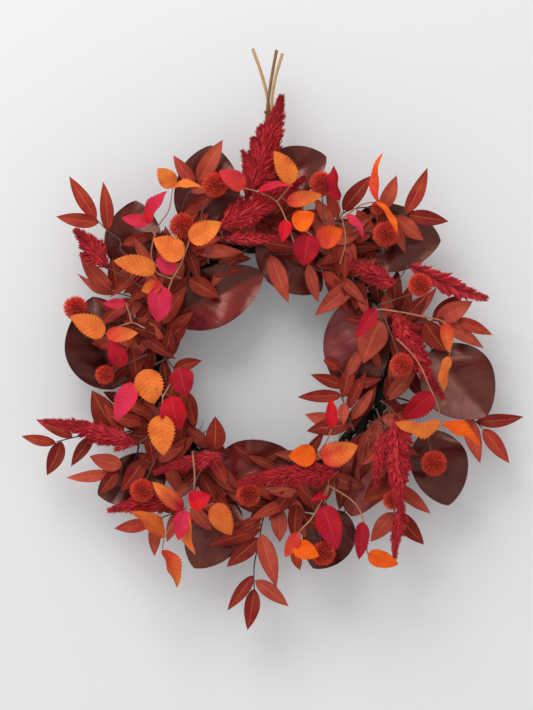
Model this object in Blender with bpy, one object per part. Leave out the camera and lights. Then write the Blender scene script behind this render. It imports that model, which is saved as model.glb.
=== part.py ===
"""Harvest door wreath: a wire hoop and three twisted vines that carry stemmed picks of leaves,
plumes and ball heads, with three crossed hanger stems and a wire loop that hangs on a nail.

Sizes are in millimetres and become metres where a mesh or a curve is made. The origin is the
hang point, where the nail bears on the inside of the hanging loop. +Z is up, +X is to the
right and -Y is forward, out of the door. Plan positions are (x, z) from the ring's centre, and
a depth is the distance forward of the hoop's plane.
"""

import math

import bmesh
import bpy
from mathutils import Vector

MM = 0.001

# Ring
RING_RADIUS = 142.0  # centreline of the hoop and of the vines
HOOP_WIRE = 3.6
HOOP_POINTS = 48
STRAND_DIAMETER = 12.0
STRAND_LAY = 9.0  # from the middle of the twist to each vine's centreline
STRAND_TURNS = 7
STRAND_POINTS = 64  # along one vine
SURFACE_STEPS = 10  # places tried between two of those points, where a foot meets the vines
STRAND_END_GAP = 10.0  # between the two cut ends of one vine
STRAND_SEAM = 15.0  # degrees round the ring from +X to the first vine's gap
BINDING_WIRE = 1.2
BINDING_ANGLES = (46.0, 127.3, 226.8, 350.0)  # degrees round the ring from +X
BINDING_POINTS = 18

# Hanging loop
LOOP_WIRE = 1.8
LOOP_WIDTH = 24.0  # between the centrelines of the legs
LOOP_HEIGHT = 32.0  # from the hoop's top to the hang point
EYE_CLEARANCE = 0.4  # between the eye and the hoop's wire, on the radius
EYE_START = 50  # degrees round the hoop's wire from straight below it
EYE_END = -250
EYE_STEP = 30
LEG_START = 8.0  # above the joint's axis, where an eye has become a straight leg
ARCH_STEPS = 12

# Hanger stems
HANGER_DIAMETER = 3.5
HANGER_TIE_WIRE = 1.0
HANGER_TIE_HEIGHT = 297.0
HANGER_TIE_SLACK = 0.6
HANGER_TIE_POINTS = 20
HANGER_REST_PLACES = 3  # of a stem's route, from the ring's centreline to clear of the vines
RESTING_STEP = 2.0  # between the heights where a stem is tried against the vines

# Picks
LAYOUT_RADIUS = 142.0  # the ring that the arrangement below is drawn for
LAYOUT_SCALE = RING_RADIUS / LAYOUT_RADIUS  # picks grow with the ring, so that they keep clear
PICK_STEM = 2.6 * LAYOUT_SCALE
HEAVY_STEM = 3.2 * LAYOUT_SCALE
PETIOLE = 1.8 * LAYOUT_SCALE
CLEARANCE = 0.3  # between pieces that touch
ROOTING = 0.7  # share of a petiole's diameter that runs on past the stem's centreline
FOLD_BACK = 0.3  # cosine between petiole and blade under which the blade counts as folded back
SAME_PLACE = 0.01  # places closer than this count as one

# Leaf kinds: blade thickness, rise of the middle, lift of the edges, and the outline as
# (share of the length, share of the half width)
MAGNOLIA = {
    "thickness": 1.6,
    "arch": 0.05,
    "cup": 0.12,
    "outline": ((0.08, 0.45), (0.26, 0.86), (0.5, 1.0), (0.74, 0.82), (0.91, 0.42)),
}
WILLOW = {
    "thickness": 1.2,
    "arch": 0.05,
    "cup": 0.15,
    "outline": ((0.3, 0.96), (0.66, 0.84)),
}
BEECH = {
    "thickness": 1.1,
    "arch": 0.06,
    "cup": 0.15,
    "outline": ((0.24, 0.9), (0.62, 0.92)),
}
PLUME_OUTLINE = ((0.0, 0.3), (0.14, 0.8), (0.34, 1.0), (0.58, 0.86), (0.82, 0.5), (1.0, 0.12))
PLUME_SIDES = 8
PLUME_FLATNESS = 0.85  # front to back, as a share of its width
PLUME_NECK = 0.1  # share of a plume's length that its neck reaches into it
BALL_SEGMENTS = 8
BALL_RINGS = 6
SHARP_ANGLE = 40.0

# Worked out from the sizes above
HOOP_RADIUS = HOOP_WIRE / 2
STRAND_RADIUS = STRAND_DIAMETER / 2
BUNDLE_RADIUS = STRAND_LAY + STRAND_RADIUS
BUNDLE_DEPTH = HOOP_RADIUS + CLEARANCE + BUNDLE_RADIUS
RING_FRONT = BUNDLE_DEPTH + BUNDLE_RADIUS
RING_HEIGHT = -(RING_RADIUS + LOOP_HEIGHT)
LOOP_AXIS = math.sqrt(RING_RADIUS**2 - (LOOP_WIDTH / 2) ** 2)


def remove_everything():
    for obj in list(bpy.data.objects):
        bpy.data.objects.remove(obj, do_unlink=True)


def point(x, z, depth):
    """A place in the ring's own frame, in metres."""
    return Vector((x * MM, -depth * MM, z * MM))


def material(name, colour, roughness, metallic=0.0):
    """A plain Principled material."""
    made = bpy.data.materials.new(name)
    made.use_nodes = True
    shader = made.node_tree.nodes["Principled BSDF"]
    shader.inputs["Base Color"].default_value = (*colour, 1.0)
    shader.inputs["Roughness"].default_value = roughness
    shader.inputs["Metallic"].default_value = metallic
    made.diffuse_color = (*colour, 1.0)
    return made


def add(name, data, finish, parent):
    """Puts a mesh or a curve in the scene under its parent."""
    obj = bpy.data.objects.new(name, data)
    obj.data.materials.append(finish)
    obj.parent = parent
    bpy.context.collection.objects.link(obj)
    return obj


def empty(name, location, parent=None):
    obj = bpy.data.objects.new(name, None)
    obj.location = location
    obj.parent = parent
    bpy.context.collection.objects.link(obj)
    return obj


def tube_curve(name, paths, diameter, rounding, closed=False):
    """A curve with a round bevel and filled caps along each path of points in metres."""
    curve = bpy.data.curves.new(name, "CURVE")
    curve.dimensions = "3D"
    curve.bevel_depth = diameter / 2 * MM
    curve.bevel_resolution = rounding
    curve.use_fill_caps = True
    for path in paths:
        spline = curve.splines.new("POLY")
        spline.points.add(len(path) - 1)
        for i, place in enumerate(path):
            spline.points[i].co = (*place, 1.0)
        spline.use_cyclic_u = closed
    return curve


def mesh_of(name, data):
    """The evaluated mesh of a curve, or of a mesh's own data."""
    holder = bpy.data.objects.new(name, data)
    bpy.context.collection.objects.link(holder)
    seen = holder.evaluated_get(bpy.context.evaluated_depsgraph_get())
    mesh = bpy.data.meshes.new_from_object(seen)
    bpy.data.objects.remove(holder)
    return mesh


def fused(name, shells):
    """One closed mesh from closed shells that run into each other, by an exact union."""
    tools = bpy.data.collections.new(name + "_shells")
    bpy.context.scene.collection.children.link(tools)
    body = bpy.data.objects.new(name + "_body", shells[0])
    bpy.context.scene.collection.objects.link(body)
    for i, shell in enumerate(shells[1:]):
        tools.objects.link(bpy.data.objects.new(f"{name}_shell_{i}", shell))
    union = body.modifiers.new("union", "BOOLEAN")
    union.operation = "UNION"
    union.solver = "EXACT"
    union.operand_type = "COLLECTION"
    union.collection = tools
    mesh = bpy.data.meshes.new_from_object(
        body.evaluated_get(bpy.context.evaluated_depsgraph_get())
    )
    for obj in [body, *tools.objects]:
        bpy.data.objects.remove(obj)
    bpy.data.collections.remove(tools)
    mesh.name = name
    mesh.materials.clear()
    mesh.shade_smooth()
    mesh.set_sharp_from_angle(angle=math.radians(SHARP_ANGLE))
    return mesh


# Ring ------------------------------------------------------------------------------------


def make_hoop(ring, steel):
    """Round wire hoop, welded shut."""
    turn = [2 * math.pi * i / HOOP_POINTS for i in range(HOOP_POINTS)]
    path = [point(RING_RADIUS * math.cos(a), RING_RADIUS * math.sin(a), 0.0) for a in turn]
    curve = tube_curve("frame_hoop", [path], HOOP_WIRE, 1, closed=True)
    return add("frame_hoop", curve, steel, ring)


def strand_place(number, angle):
    """Plan position and depth of a vine's centreline at an angle round the ring."""
    phase = STRAND_TURNS * (angle - math.pi / 2) + 2 * math.pi * number / 3 - math.pi / 2
    radius = RING_RADIUS + STRAND_LAY * math.cos(phase)
    depth = BUNDLE_DEPTH + STRAND_LAY * math.sin(phase)
    return radius * math.cos(angle), radius * math.sin(angle), depth


def strand_angles(number, count):
    """Angles along one vine, from one cut end round to the other."""
    seam = math.radians(STRAND_SEAM + 120 * number)
    gap = STRAND_END_GAP / RING_RADIUS
    reach = 2 * math.pi - gap
    return [seam + gap / 2 + reach * i / (count - 1) for i in range(count)]


def strand_route(number):
    """Centreline of one vine: plan position and depth at each of its points."""
    return [Vector(strand_place(number, angle)) for angle in strand_angles(number, STRAND_POINTS)]


def make_strands(ring, bark):
    for number in range(3):
        path = [point(*place) for place in strand_route(number)]
        name = f"vine_strand_{number + 1}"
        add(name, tube_curve(name, [path], STRAND_DIAMETER, 1), bark, ring)


def bundle_surface(x, z, reach):
    """Depth at which a foot of this radius, coming straight back, meets the vines."""
    found = BUNDLE_DEPTH
    for number in range(3):
        route = strand_route(number)
        for a, b in zip(route, route[1:]):
            for step in range(SURFACE_STEPS):
                place = a.lerp(b, step / SURFACE_STEPS)
                aside = max(0.0, math.hypot(x - place.x, z - place.y) - reach)
                if aside < STRAND_RADIUS:
                    found = max(found, place.z + math.sqrt(STRAND_RADIUS**2 - aside**2))
    return found


def make_binding_wires(ring, steel):
    """Wire ties that hold the vines against the hoop."""
    grown = CLEARANCE + BINDING_WIRE / 2
    round_vines = BUNDLE_RADIUS + grown
    round_hoop = HOOP_RADIUS + grown
    for number, degrees in enumerate(BINDING_ANGLES):
        angle = math.radians(degrees)
        path = []
        for i in range(BINDING_POINTS):
            turn = 2 * math.pi * i / BINDING_POINTS
            on_vines = BUNDLE_DEPTH * math.sin(turn) + round_vines > round_hoop
            size = round_vines if on_vines else round_hoop
            middle = BUNDLE_DEPTH if on_vines else 0.0
            radius = RING_RADIUS + size * math.cos(turn)
            depth = middle + size * math.sin(turn)
            path.append(point(radius * math.cos(angle), radius * math.sin(angle), depth))
        name = f"binding_wire_{number + 1}"
        curve = tube_curve(name, [path], BINDING_WIRE, 0, closed=True)
        add(name, curve, steel, ring)


# Hanging loop and hanger stems -------------------------------------------------------------


def eye_path(x):
    """The part turn of wire round the hoop, from its free end up to the leg."""
    radius = HOOP_RADIUS + EYE_CLEARANCE + LOOP_WIRE / 2
    path = []
    for degrees in range(EYE_START, EYE_END - 1, -EYE_STEP):
        turn = math.radians(degrees)
        path.append(point(x, radius * math.sin(turn), -radius * math.cos(turn)))
    return path


def make_hanging_loop(ring, steel):
    """Bail of bent wire; its origin lies on the hoop's centreline between the eyes."""
    half = LOOP_WIDTH / 2
    arch_height = RING_RADIUS + LOOP_HEIGHT + LOOP_WIRE / 2 - half - LOOP_AXIS
    path = eye_path(-half)
    path.append(point(-half, LEG_START, 0.0))
    for i in range(ARCH_STEPS + 1):
        turn = math.pi - math.pi * i / ARCH_STEPS
        path.append(point(half * math.cos(turn), arch_height + half * math.sin(turn), 0.0))
    path.append(point(half, LEG_START, 0.0))
    path += reversed(eye_path(half))
    hinge = empty("hanging_loop_axis", (0.0, 0.0, LOOP_AXIS * MM), ring)
    curve = tube_curve("hanging_loop", [path], LOOP_WIRE, 1)
    return add("hanging_loop", curve, steel, hinge)


def resting_depth(x):
    """Depth of a hanger stem's centreline where it lies on the vines, upright at x."""
    places = math.ceil(BUNDLE_RADIUS / RESTING_STEP) + 1
    heights = [RING_RADIUS + RESTING_STEP * i for i in range(places)]
    tops = [bundle_surface(x, height, HANGER_DIAMETER / 2) for height in heights]
    return max(tops) + CLEARANCE + HANGER_DIAMETER / 2


def hanger_routes():
    """Plan position and depth along each hanger stem, from where it lies on the vines to its top."""
    near = RING_FRONT + CLEARANCE + HANGER_DIAMETER / 2
    far = near + HANGER_DIAMETER + CLEARANCE
    between = (near + far) / 2
    grow = RING_RADIUS - LAYOUT_RADIUS
    free = {
        "left": ((-3, 230, near), (-1, 297, near), (-8, 336, near), (-21, 374, near)),
        "middle": ((-9, 230, between), (-3.6, 297, far), (1, 333, far), (8, 372, far)),
        "right": ((3, 230, between), (1.8, 297, far), (5.5, 333, far), (15, 368, far)),
    }
    routes = {}
    for side, places in free.items():
        foot = places[0][0]
        lying = resting_depth(foot)
        rest = [(foot, RING_RADIUS + BUNDLE_RADIUS * i, lying) for i in range(HANGER_REST_PLACES)]
        routes[side] = rest + [(x, z + grow, depth) for x, z, depth in places]
    return routes


def smooth_route(route, steps):
    """Points along a Catmull-Rom curve through a route."""
    ends = [route[0], *route, route[-1]]
    path = []
    for i in range(len(route) - 1):
        a, b, c, d = (Vector(ends[i + k]) for k in range(4))
        for step in range(steps):
            t = step / steps
            path.append(
                0.5
                * (
                    2 * b
                    + (c - a) * t
                    + (2 * a - 5 * b + 4 * c - d) * t**2
                    + (3 * b - a - 3 * c + d) * t**3
                )
            )
    path.append(Vector(route[-1]))
    return path


def make_hanger_stems(ring, paper):
    for side, route in hanger_routes().items():
        name = f"hanger_stem_{side}"
        path = [point(*p) for p in smooth_route(route, 3)]
        add(name, tube_curve(name, [path], HANGER_DIAMETER, 1), paper, ring)


def make_hanger_tie(ring, steel):
    """Oval of wire round the three stems where they cross."""
    waist = {side: route[HANGER_REST_PLACES + 1] for side, route in hanger_routes().items()}
    middle_x = (waist["middle"][0] + waist["right"][0]) / 2
    middle_depth = (waist["left"][2] + waist["middle"][2]) / 2
    room = HANGER_DIAMETER / 2 + CLEARANCE + HANGER_TIE_WIRE / 2 + HANGER_TIE_SLACK
    half_x = (waist["right"][0] - waist["middle"][0]) / 2 + room
    half_depth = (waist["middle"][2] - waist["left"][2]) / 2 + room
    height = HANGER_TIE_HEIGHT + RING_RADIUS - LAYOUT_RADIUS
    path = []
    for i in range(HANGER_TIE_POINTS):
        turn = 2 * math.pi * i / HANGER_TIE_POINTS
        x = middle_x + half_x * math.cos(turn)
        path.append(point(x, height, middle_depth + half_depth * math.sin(turn)))
    curve = tube_curve("hanger_tie", [path], HANGER_TIE_WIRE, 0, closed=True)
    add("hanger_tie", curve, steel, ring)


# Picks -----------------------------------------------------------------------------------


def placed(x, z, depth):
    """A place of the arrangement, with its depth forward of the vines' front."""
    return Vector((x * LAYOUT_SCALE, z * LAYOUT_SCALE, RING_FRONT + depth * LAYOUT_SCALE))


def foot_path(stem, depth, diameter):
    """The first stem: a foot that stands on the vines, then the stem at its own depth."""
    path = [placed(*place, depth) for place in stem]
    foot, following = path[0], path[1]
    surface = bundle_surface(foot.x, foot.y, diameter / 2) + CLEARANCE
    lean = (following - foot).normalized() * diameter
    base = [(*foot.xy, surface), (*foot.xy, foot.z - diameter), foot + lean]
    return [Vector(place) for place in base] + path[1:]


def nearest_on(paths, place):
    """The point of some stems' centrelines that is nearest to a place in plan."""
    best = None
    for path in paths:
        for a, b in zip(path[1:], path[2:]):
            span = (b - a).xy
            if span.length < SAME_PLACE:
                continue
            share = (Vector(place) - a.xy).dot(span) / span.length_squared
            found = a.lerp(b, min(1.0, max(0.0, share)))
            distance = (found.xy - Vector(place)).length
            if best is None or distance < best[0]:
                best = (distance, found)
    return best[1]


def stem_paths(stems, depth, diameter):
    """Centrelines of a pick's stems; each later stem starts on an earlier one."""
    paths = [foot_path(stems[0], depth, diameter)]
    for stem in stems[1:]:
        start = nearest_on(paths, placed(*stem[0], depth).xy)
        paths.append([start, start] + [placed(*place, depth) for place in stem[1:]])
    return paths


def stem_shells(name, paths, diameter):
    """One closed tube for each stem."""
    shells = []
    for path in paths:
        clean = [path[0]] + [b for a, b in zip(path, path[1:]) if (b - a).length > SAME_PLACE]
        curve = tube_curve(name, [[point(*place) for place in clean]], diameter, 0)
        shells.append(mesh_of(name, curve))
    return shells


def loft(name, sections, tip=None):
    """A closed skin over rings of points, ended by a cap or by a point."""
    mesh = bmesh.new()
    rings = [[mesh.verts.new(place) for place in section] for section in sections]
    count = len(rings[0])
    mesh.faces.new(rings[0])
    for a, b in zip(rings, rings[1:]):
        for i in range(count):
            j = (i + 1) % count
            mesh.faces.new((a[i], a[j], b[j], b[i]))
    if tip is None:
        mesh.faces.new(reversed(rings[-1]))
    else:
        end = mesh.verts.new(tip)
        for i in range(count):
            mesh.faces.new((rings[-1][i], rings[-1][(i + 1) % count], end))
    bmesh.ops.recalc_face_normals(mesh, faces=mesh.faces)
    data = bpy.data.meshes.new(name)
    mesh.to_mesh(data)
    mesh.free()
    return data


def inside_stem(start, base, tip):
    """Where a leaf's skin begins, a little way inside the stem."""
    ahead = base if (base - start).length > PETIOLE else tip
    return start + (start - ahead).normalized() * PETIOLE * ROOTING


def neck_shell(name, start, end, diameter):
    """A straight tube from inside a stem to a little way inside what it carries."""
    ahead = (end - start).normalized() * diameter / 2
    curve = tube_curve(name, [[point(*(start - ahead)), point(*(end + ahead))]], diameter, 0)
    return mesh_of(name, curve)


def leaf_shells(name, kind, start, base, tip, width):
    """A blade with a raised middle and lifted edges, and its petiole from the stem. A blade
    that folds back over its petiole is a shell of its own."""
    along = tip - base
    length = along.length
    across = along.cross(Vector((0, 0, 1))).normalized()
    face = across.cross(along).normalized()
    if face.z < 0:
        face.negate()

    def section(place, half_width, half_thick, lift):
        ring = (
            place + across * half_width + face * lift,
            place + face * half_thick,
            place - across * half_width + face * lift,
            place - face * half_thick,
        )
        return [point(*corner) for corner in ring]

    half = PETIOLE / 2
    shells = []
    reach = base - start
    if reach.length > PETIOLE and reach.normalized().dot(along.normalized()) < FOLD_BACK:
        shells.append(neck_shell(name, start, base, PETIOLE))
        sections = [section(base - along.normalized() * PETIOLE, half, half, 0.0)]
    else:
        sections = [section(inside_stem(start, base, tip), half, half, 0.0)]
    if reach.length > half:
        sections.append(section(base, half, half, 0.0))
    for share, wide in kind["outline"]:
        rise = kind["arch"] * length * math.sin(math.pi * share)
        place = base.lerp(tip, share) + face * rise
        half_width = width / 2 * wide
        lift = kind["cup"] * half_width
        sections.append(section(place, half_width, kind["thickness"] / 2 * LAYOUT_SCALE, lift))
    shells.append(loft(name, sections, point(*tip)))
    return shells


def leaf_pick(name, kind, depth, stems, leaves, finish, ring, diameter=PICK_STEM):
    """Stems with leaves. A leaf is (base x, z, tip x, z, width) and, where they differ from the
    stem's depth, how far forward its base and its tip stand."""
    paths = stem_paths(stems, depth, diameter)
    shells = stem_shells(name, paths, diameter)
    for leaf in leaves:
        x0, z0, x1, z1, width = leaf[:5]
        base_lift, tip_lift = (*leaf[5:], 0.0, 0.0)[:2]
        base = placed(x0, z0, depth + base_lift)
        tip = placed(x1, z1, depth + tip_lift)
        start = nearest_on(paths, base.xy)
        shells += leaf_shells(name, kind, start, base, tip, width * LAYOUT_SCALE)
    return add(name, fused(name, shells), finish, ring)


def ball_pick(name, depth, stems, heads, finish, ring):
    """Stems with ball heads. A head is (x, z, radius) and how far forward it stands."""
    paths = stem_paths(stems, depth, PICK_STEM)
    shells = stem_shells(name, paths, PICK_STEM)
    for x, z, radius, lift in heads:
        centre = placed(x, z, depth + lift)
        start = nearest_on(paths, centre.xy)
        shells.append(neck_shell(name, start, centre, PETIOLE))
        ball = bmesh.new()
        bmesh.ops.create_uvsphere(
            ball,
            u_segments=BALL_SEGMENTS,
            v_segments=BALL_RINGS,
            radius=radius * LAYOUT_SCALE * MM,
        )
        bmesh.ops.translate(ball, verts=ball.verts, vec=point(*centre))
        head = bpy.data.meshes.new(name)
        ball.to_mesh(head)
        ball.free()
        shells.append(head)
    return add(name, fused(name, shells), finish, ring)


def plume_shell(name, base, tip, radius):
    """A spindle of soft florets, a little flatter front to back than it is wide."""
    along = tip - base
    across = along.cross(Vector((0, 0, 1))).normalized()
    face = across.cross(along).normalized()
    sections = []
    stations = [(base.lerp(tip, share), radius * wide) for share, wide in PLUME_OUTLINE]
    for place, size in stations:
        ring = []
        for i in range(PLUME_SIDES):
            turn = 2 * math.pi * i / PLUME_SIDES
            aside = across * size * math.cos(turn)
            ring.append(point(*(place + aside + face * size * PLUME_FLATNESS * math.sin(turn))))
        sections.append(ring)
    return loft(name, sections)


def plume_pick(name, depth, stems, plumes, finish, ring):
    """Stems with plumes. A plume is (base x, z, tip x, z, width) and how far forward its base
    and its tip stand."""
    paths = stem_paths(stems, depth, PICK_STEM)
    shells = stem_shells(name, paths, PICK_STEM)
    for x0, z0, x1, z1, width, base_lift, tip_lift in plumes:
        base = placed(x0, z0, depth + base_lift)
        tip = placed(x1, z1, depth + tip_lift)
        start = nearest_on(paths, base.xy)
        shells.append(neck_shell(name, start, base.lerp(tip, PLUME_NECK), PETIOLE))
        shells.append(plume_shell(name, base, tip, width / 2 * LAYOUT_SCALE))
    return add(name, fused(name, shells), finish, ring)


# The arrangement ---------------------------------------------------------------------------
# Drawn for LAYOUT_RADIUS; depths are forward of the vines' front. A stem's first place is its
# foot on the ring.


def make_magnolia_picks(ring, finish):
    def pick(where, depth, stems, leaves):
        name = f"magnolia_pick_{where}"
        leaf_pick(name, MAGNOLIA, depth, stems, leaves, finish, ring, HEAVY_STEM)

    pick(
        "top_left",
        6,
        [[(-104, 101), (-124, 122), (-145, 112), (-163, 102)], [(-124, 122), (-104, 140), (-87, 149)]],
        [(-165, 100, -162, 190, 62, 0, 4), (-85, 150, -71, 257, 72, 0, 4)],
    )
    pick(
        "left",
        6,
        [[(-143, -14), (-160, -18), (-176, -26), (-189, -37)]],
        [(-190, -38, -205, 72, 75, 0, 4), (-162, -22, -160, -92, 42, 0, 2)],
    )
    pick("inner_left", 8, [[(-134, 46), (-126, 49)]], [(-125, 50, -8, 103, 60, 0, 2)])
    pick(
        "top_right",
        9,
        [[(76, 122), (81, 136), (89, 149)], [(81, 136), (60, 155), (14, 166), (2, 190), (-9, 204)]],
        [(90, 150, 206, 141, 75, 0, 3), (-10, 205, 68, 243, 55, 1, 3)],
    )
    pick(
        "right",
        7,
        [[(122, 72), (112, 75)], [(122, 72), (143, 84), (172, 55), (188, 28), (195, 11)]],
        [(110, 75, 102, -52, 72, 0, 3), (195, 10, 262, -70, 78, 2, 6)],
    )
    pick(
        "bottom_left",
        4,
        [
            [(-112, -90), (-121, -112), (-124, -128)],
            [(-121, -112), (-96, -148), (-74, -160), (-50, -168)],
        ],
        [
            (-125, -130, -208, -165, 56, 0, 4),
            (-48, -168, -92, -254, 62, 0, 2),
            (-72, -158, 24, -114, 64, 2, 10),
        ],
    )
    pick(
        "bottom_right",
        5,
        [
            [(126, -70), (130, -84)],
            [(130, -84), (150, -82), (189, -86)],
            [(130, -84), (132, -120), (110, -160), (91, -184)],
        ],
        [
            (130, -87, 98, -191, 58, 5, 8),
            (190, -87, 216, -178, 62, 0, 3),
            (90, -186, 52, -254, 56, 0, 3),
        ],
    )


def make_willow_sprays(ring, finish):
    def spray(where, depth, stems, leaves):
        leaf_pick(f"willow_spray_{where}", WILLOW, depth, stems, leaves, finish, ring)

    spray(
        "upper_left",
        24,
        [[(-117, 95), (-150, 110), (-178, 128), (-180, 141), (-195, 153), (-208, 166)]],
        [
            (-209, 168, -241, 218, 16, 0, 4),
            (-206, 163, -257, 170, 16, 0, -2),
            (-195, 154, -200, 211, 15, 0, 8),
        ],
    )
    spray(
        "left",
        22,
        [
            [(-128, 62), (-150, 68), (-168, 74), (-188, 79)],
            [(-160, 72), (-165, 50), (-160, 28), (-172, 12), (-193, 10)],
        ],
        [
            (-190, 80, -228, 122, 18, 0, 6),
            (-184, 79, -191, 122, 16, 0, -2),
            (-188, 77, -232, 101, 9, 0, -4),
            (-160, 71, -157, 96, 18, 0, 6),
            (-165, 50, -212, 72, 14, 0, 4),
            (-194, 10, -215, 27, 10, 0, 2),
            (-160, 18, -186, 22, 14, 2, 6),
        ],
    )
    spray(
        "inner_left",
        22,
        [
            [(-138, -8), (-126, 0), (-124, 16), (-132, 44)],
            [(-126, 0), (-115, -14), (-102, -38)],
        ],
        [
            (-133, 45, -145, 13, 14, 0, -4),
            (-126, 18, -98, 45, 20, 0, 6),
            (-124, 4, -112, 28, 14, 0, -4),
            (-116, -14, -82, -3, 14, 0, 2),
            (-101, -40, -90, -85, 16, 0, 0),
        ],
    )
    spray(
        "lower_left",
        20,
        [
            [(-128, -62), (-160, -85), (-195, -93), (-223, -93), (-238, -96), (-257, -101)],
            [(-160, -85), (-158, -105), (-164, -125), (-178, -131), (-191, -137)],
            [(-164, -125), (-148, -121), (-131, -127), (-113, -124)],
        ],
        [
            (-238, -95, -281, -74, 14, 0, 4),
            (-258, -102, -299, -94, 12, 0, 0),
            (-251, -101, -268, -141, 18, 0, 4),
            (-214, -95, -239, -130, 14, 0, 4),
            (-178, -130, -217, -118, 19, 0, 3),
            (-192, -138, -245, -144, 13, 0, 0),
            (-184, -136, -205, -164, 16, 0, 3),
            (-152, -123, -179, -160, 20, 0, 5),
            (-186, -90, -214, -39, 28, 0, 3),
        ],
    )
    spray(
        "bottom_left",
        24,
        [
            [(-84, -122), (-88, -150), (-98, -178), (-125, -190), (-143, -197)],
            [(-84, -122), (-80, -112), (-69, -111)],
        ],
        [
            (-67, -112, -66, -70, 22, 0, 4),
            (-144, -198, -187, -205, 15, 0, 2),
            (-138, -196, -139, -238, 14, 0, 0),
            (-112, -186, -124, -221, 13, 0, 4),
        ],
    )
    spray(
        "bottom",
        22,
        [
            [(34, -141), (31, -160), (14, -174), (-6, -188), (-14, -225), (-19, -250), (-19, -279)],
            [(31, -160), (33, -178), (31, -206), (29, -230)],
        ],
        [
            (24, -172, -25, -194, 14, 0, 12),
            (-12, -206, -73, -225, 16, 0, 6),
            (-10, -200, -58, -206, 13, 0, 0),
            (-13, -217, -52, -251, 19, 0, 4),
            (-11, -212, 8, -275, 20, 0, 6),
            (-20, -262, -51, -303, 14, 0, 4),
            (-19, -278, -27, -327, 17, 0, 0),
            (-17, -268, 22, -298, 16, 0, 6),
            (32, -176, 28, -218, 17, 2, 12),
            (36, -163, -8, -156, 12, 2, 6),
            (29, -230, 36, -255, 12, 0, 2),
            (10, -179, 12, -222, 18, 0, -6),
        ],
    )
    spray(
        "bottom_right",
        24,
        [[(128, -62), (140, -96), (150, -135), (150, -184)]],
        [
            (151, -152, 193, -187, 15, 0, 0),
            (151, -186, 185, -224, 19, 0, 3),
            (149, -186, 121, -221, 19, 0, 0),
        ],
    )
    spray(
        "inner_right",
        24,
        [[(101, -87), (95, -74), (90, -56), (86, -44), (92, -28), (84, -14)]],
        [
            (84, -13, 64, -2, 12, 0, 3),
            (90, -34, 49, -20, 14, 0, 4),
            (86, -45, 33, -47, 14, 0, 0),
            (89, -54, 88, -80, 12, 2, 6),
            (96, -80, 44, -88, 19, 0, -6),
            (92, -84, 42, -68, 18, 0, -13),
        ],
    )
    spray(
        "right_tip",
        1,
        [[(147, -46), (190, -58), (225, -66), (240, -71), (249, -77), (257, -85)]],
        [
            (250, -77, 306, -71, 15, 0, 6),
            (258, -86, 289, -127, 17, 0, 4),
            (239, -72, 254, -127, 18, 0, 2),
        ],
    )
    spray(
        "right",
        23,
        [
            [(142, 38), (160, 41), (185, 43), (205, 46), (223, 46)],
            [(142, 38), (135, 46)],
        ],
        [
            (200, 46, 243, 68, 22, 0, 6),
            (196, 45, 232, 76, 18, 0, -2),
            (224, 46, 267, 28, 14, 0, 4),
            (202, 45, 257, 12, 16, 0, -3),
            (186, 43, 212, 8, 24, 0, 0),
            (133, 45, 112, -6, 34, 2, 10),
        ],
    )
    spray(
        "top_right",
        26,
        [
            [(70, 126), (78, 150), (88, 174), (120, 181), (145, 171), (166, 173)],
            [(78, 150), (98, 134)],
        ],
        [
            (88, 178, 122, 219, 18, 0, 5),
            (92, 176, 105, 208, 14, 0, -4),
            (134, 177, 152, 219, 16, 0, 4),
            (163, 174, 189, 228, 16, 0, 5),
            (167, 172, 214, 164, 17, 0, 3),
            (152, 170, 185, 141, 18, 0, -4),
            (98, 133, 60, 112, 16, 0, 2),
            (88, 142, 104, 117, 14, 0, 4),
        ],
    )
    spray(
        "top_inner",
        22,
        [
            [(40, 136), (28, 127), (2, 124)],
            [(40, 136), (46, 114), (62, 104), (88, 98), (106, 92)],
        ],
        [
            (0, 123, 22, 67, 20, 0, 4),
            (46, 112, 58, 67, 14, 0, -3),
            (63, 104, 95, 75, 14, 0, 4),
            (102, 92, 54, 51, 21, 0, 10),
            (107, 92, 103, 58, 20, 0, 2),
        ],
    )
    spray(
        "top_left",
        22,
        [
            [(-97, 108), (-103, 135), (-108, 165), (-101, 193), (-88, 211)],
            [(-103, 135), (-90, 129)],
            [(-97, 108), (-98, 96)],
        ],
        [
            (-91, 209, -116, 243, 15, 0, 4),
            (-87, 212, -57, 262, 20, 0, 2),
            (-106, 172, -84, 152, 15, 0, -3),
            (-90, 129, -31, 127, 16, 0, 3),
            (-98, 95, -60, 72, 20, 0, 3),
        ],
    )


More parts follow.
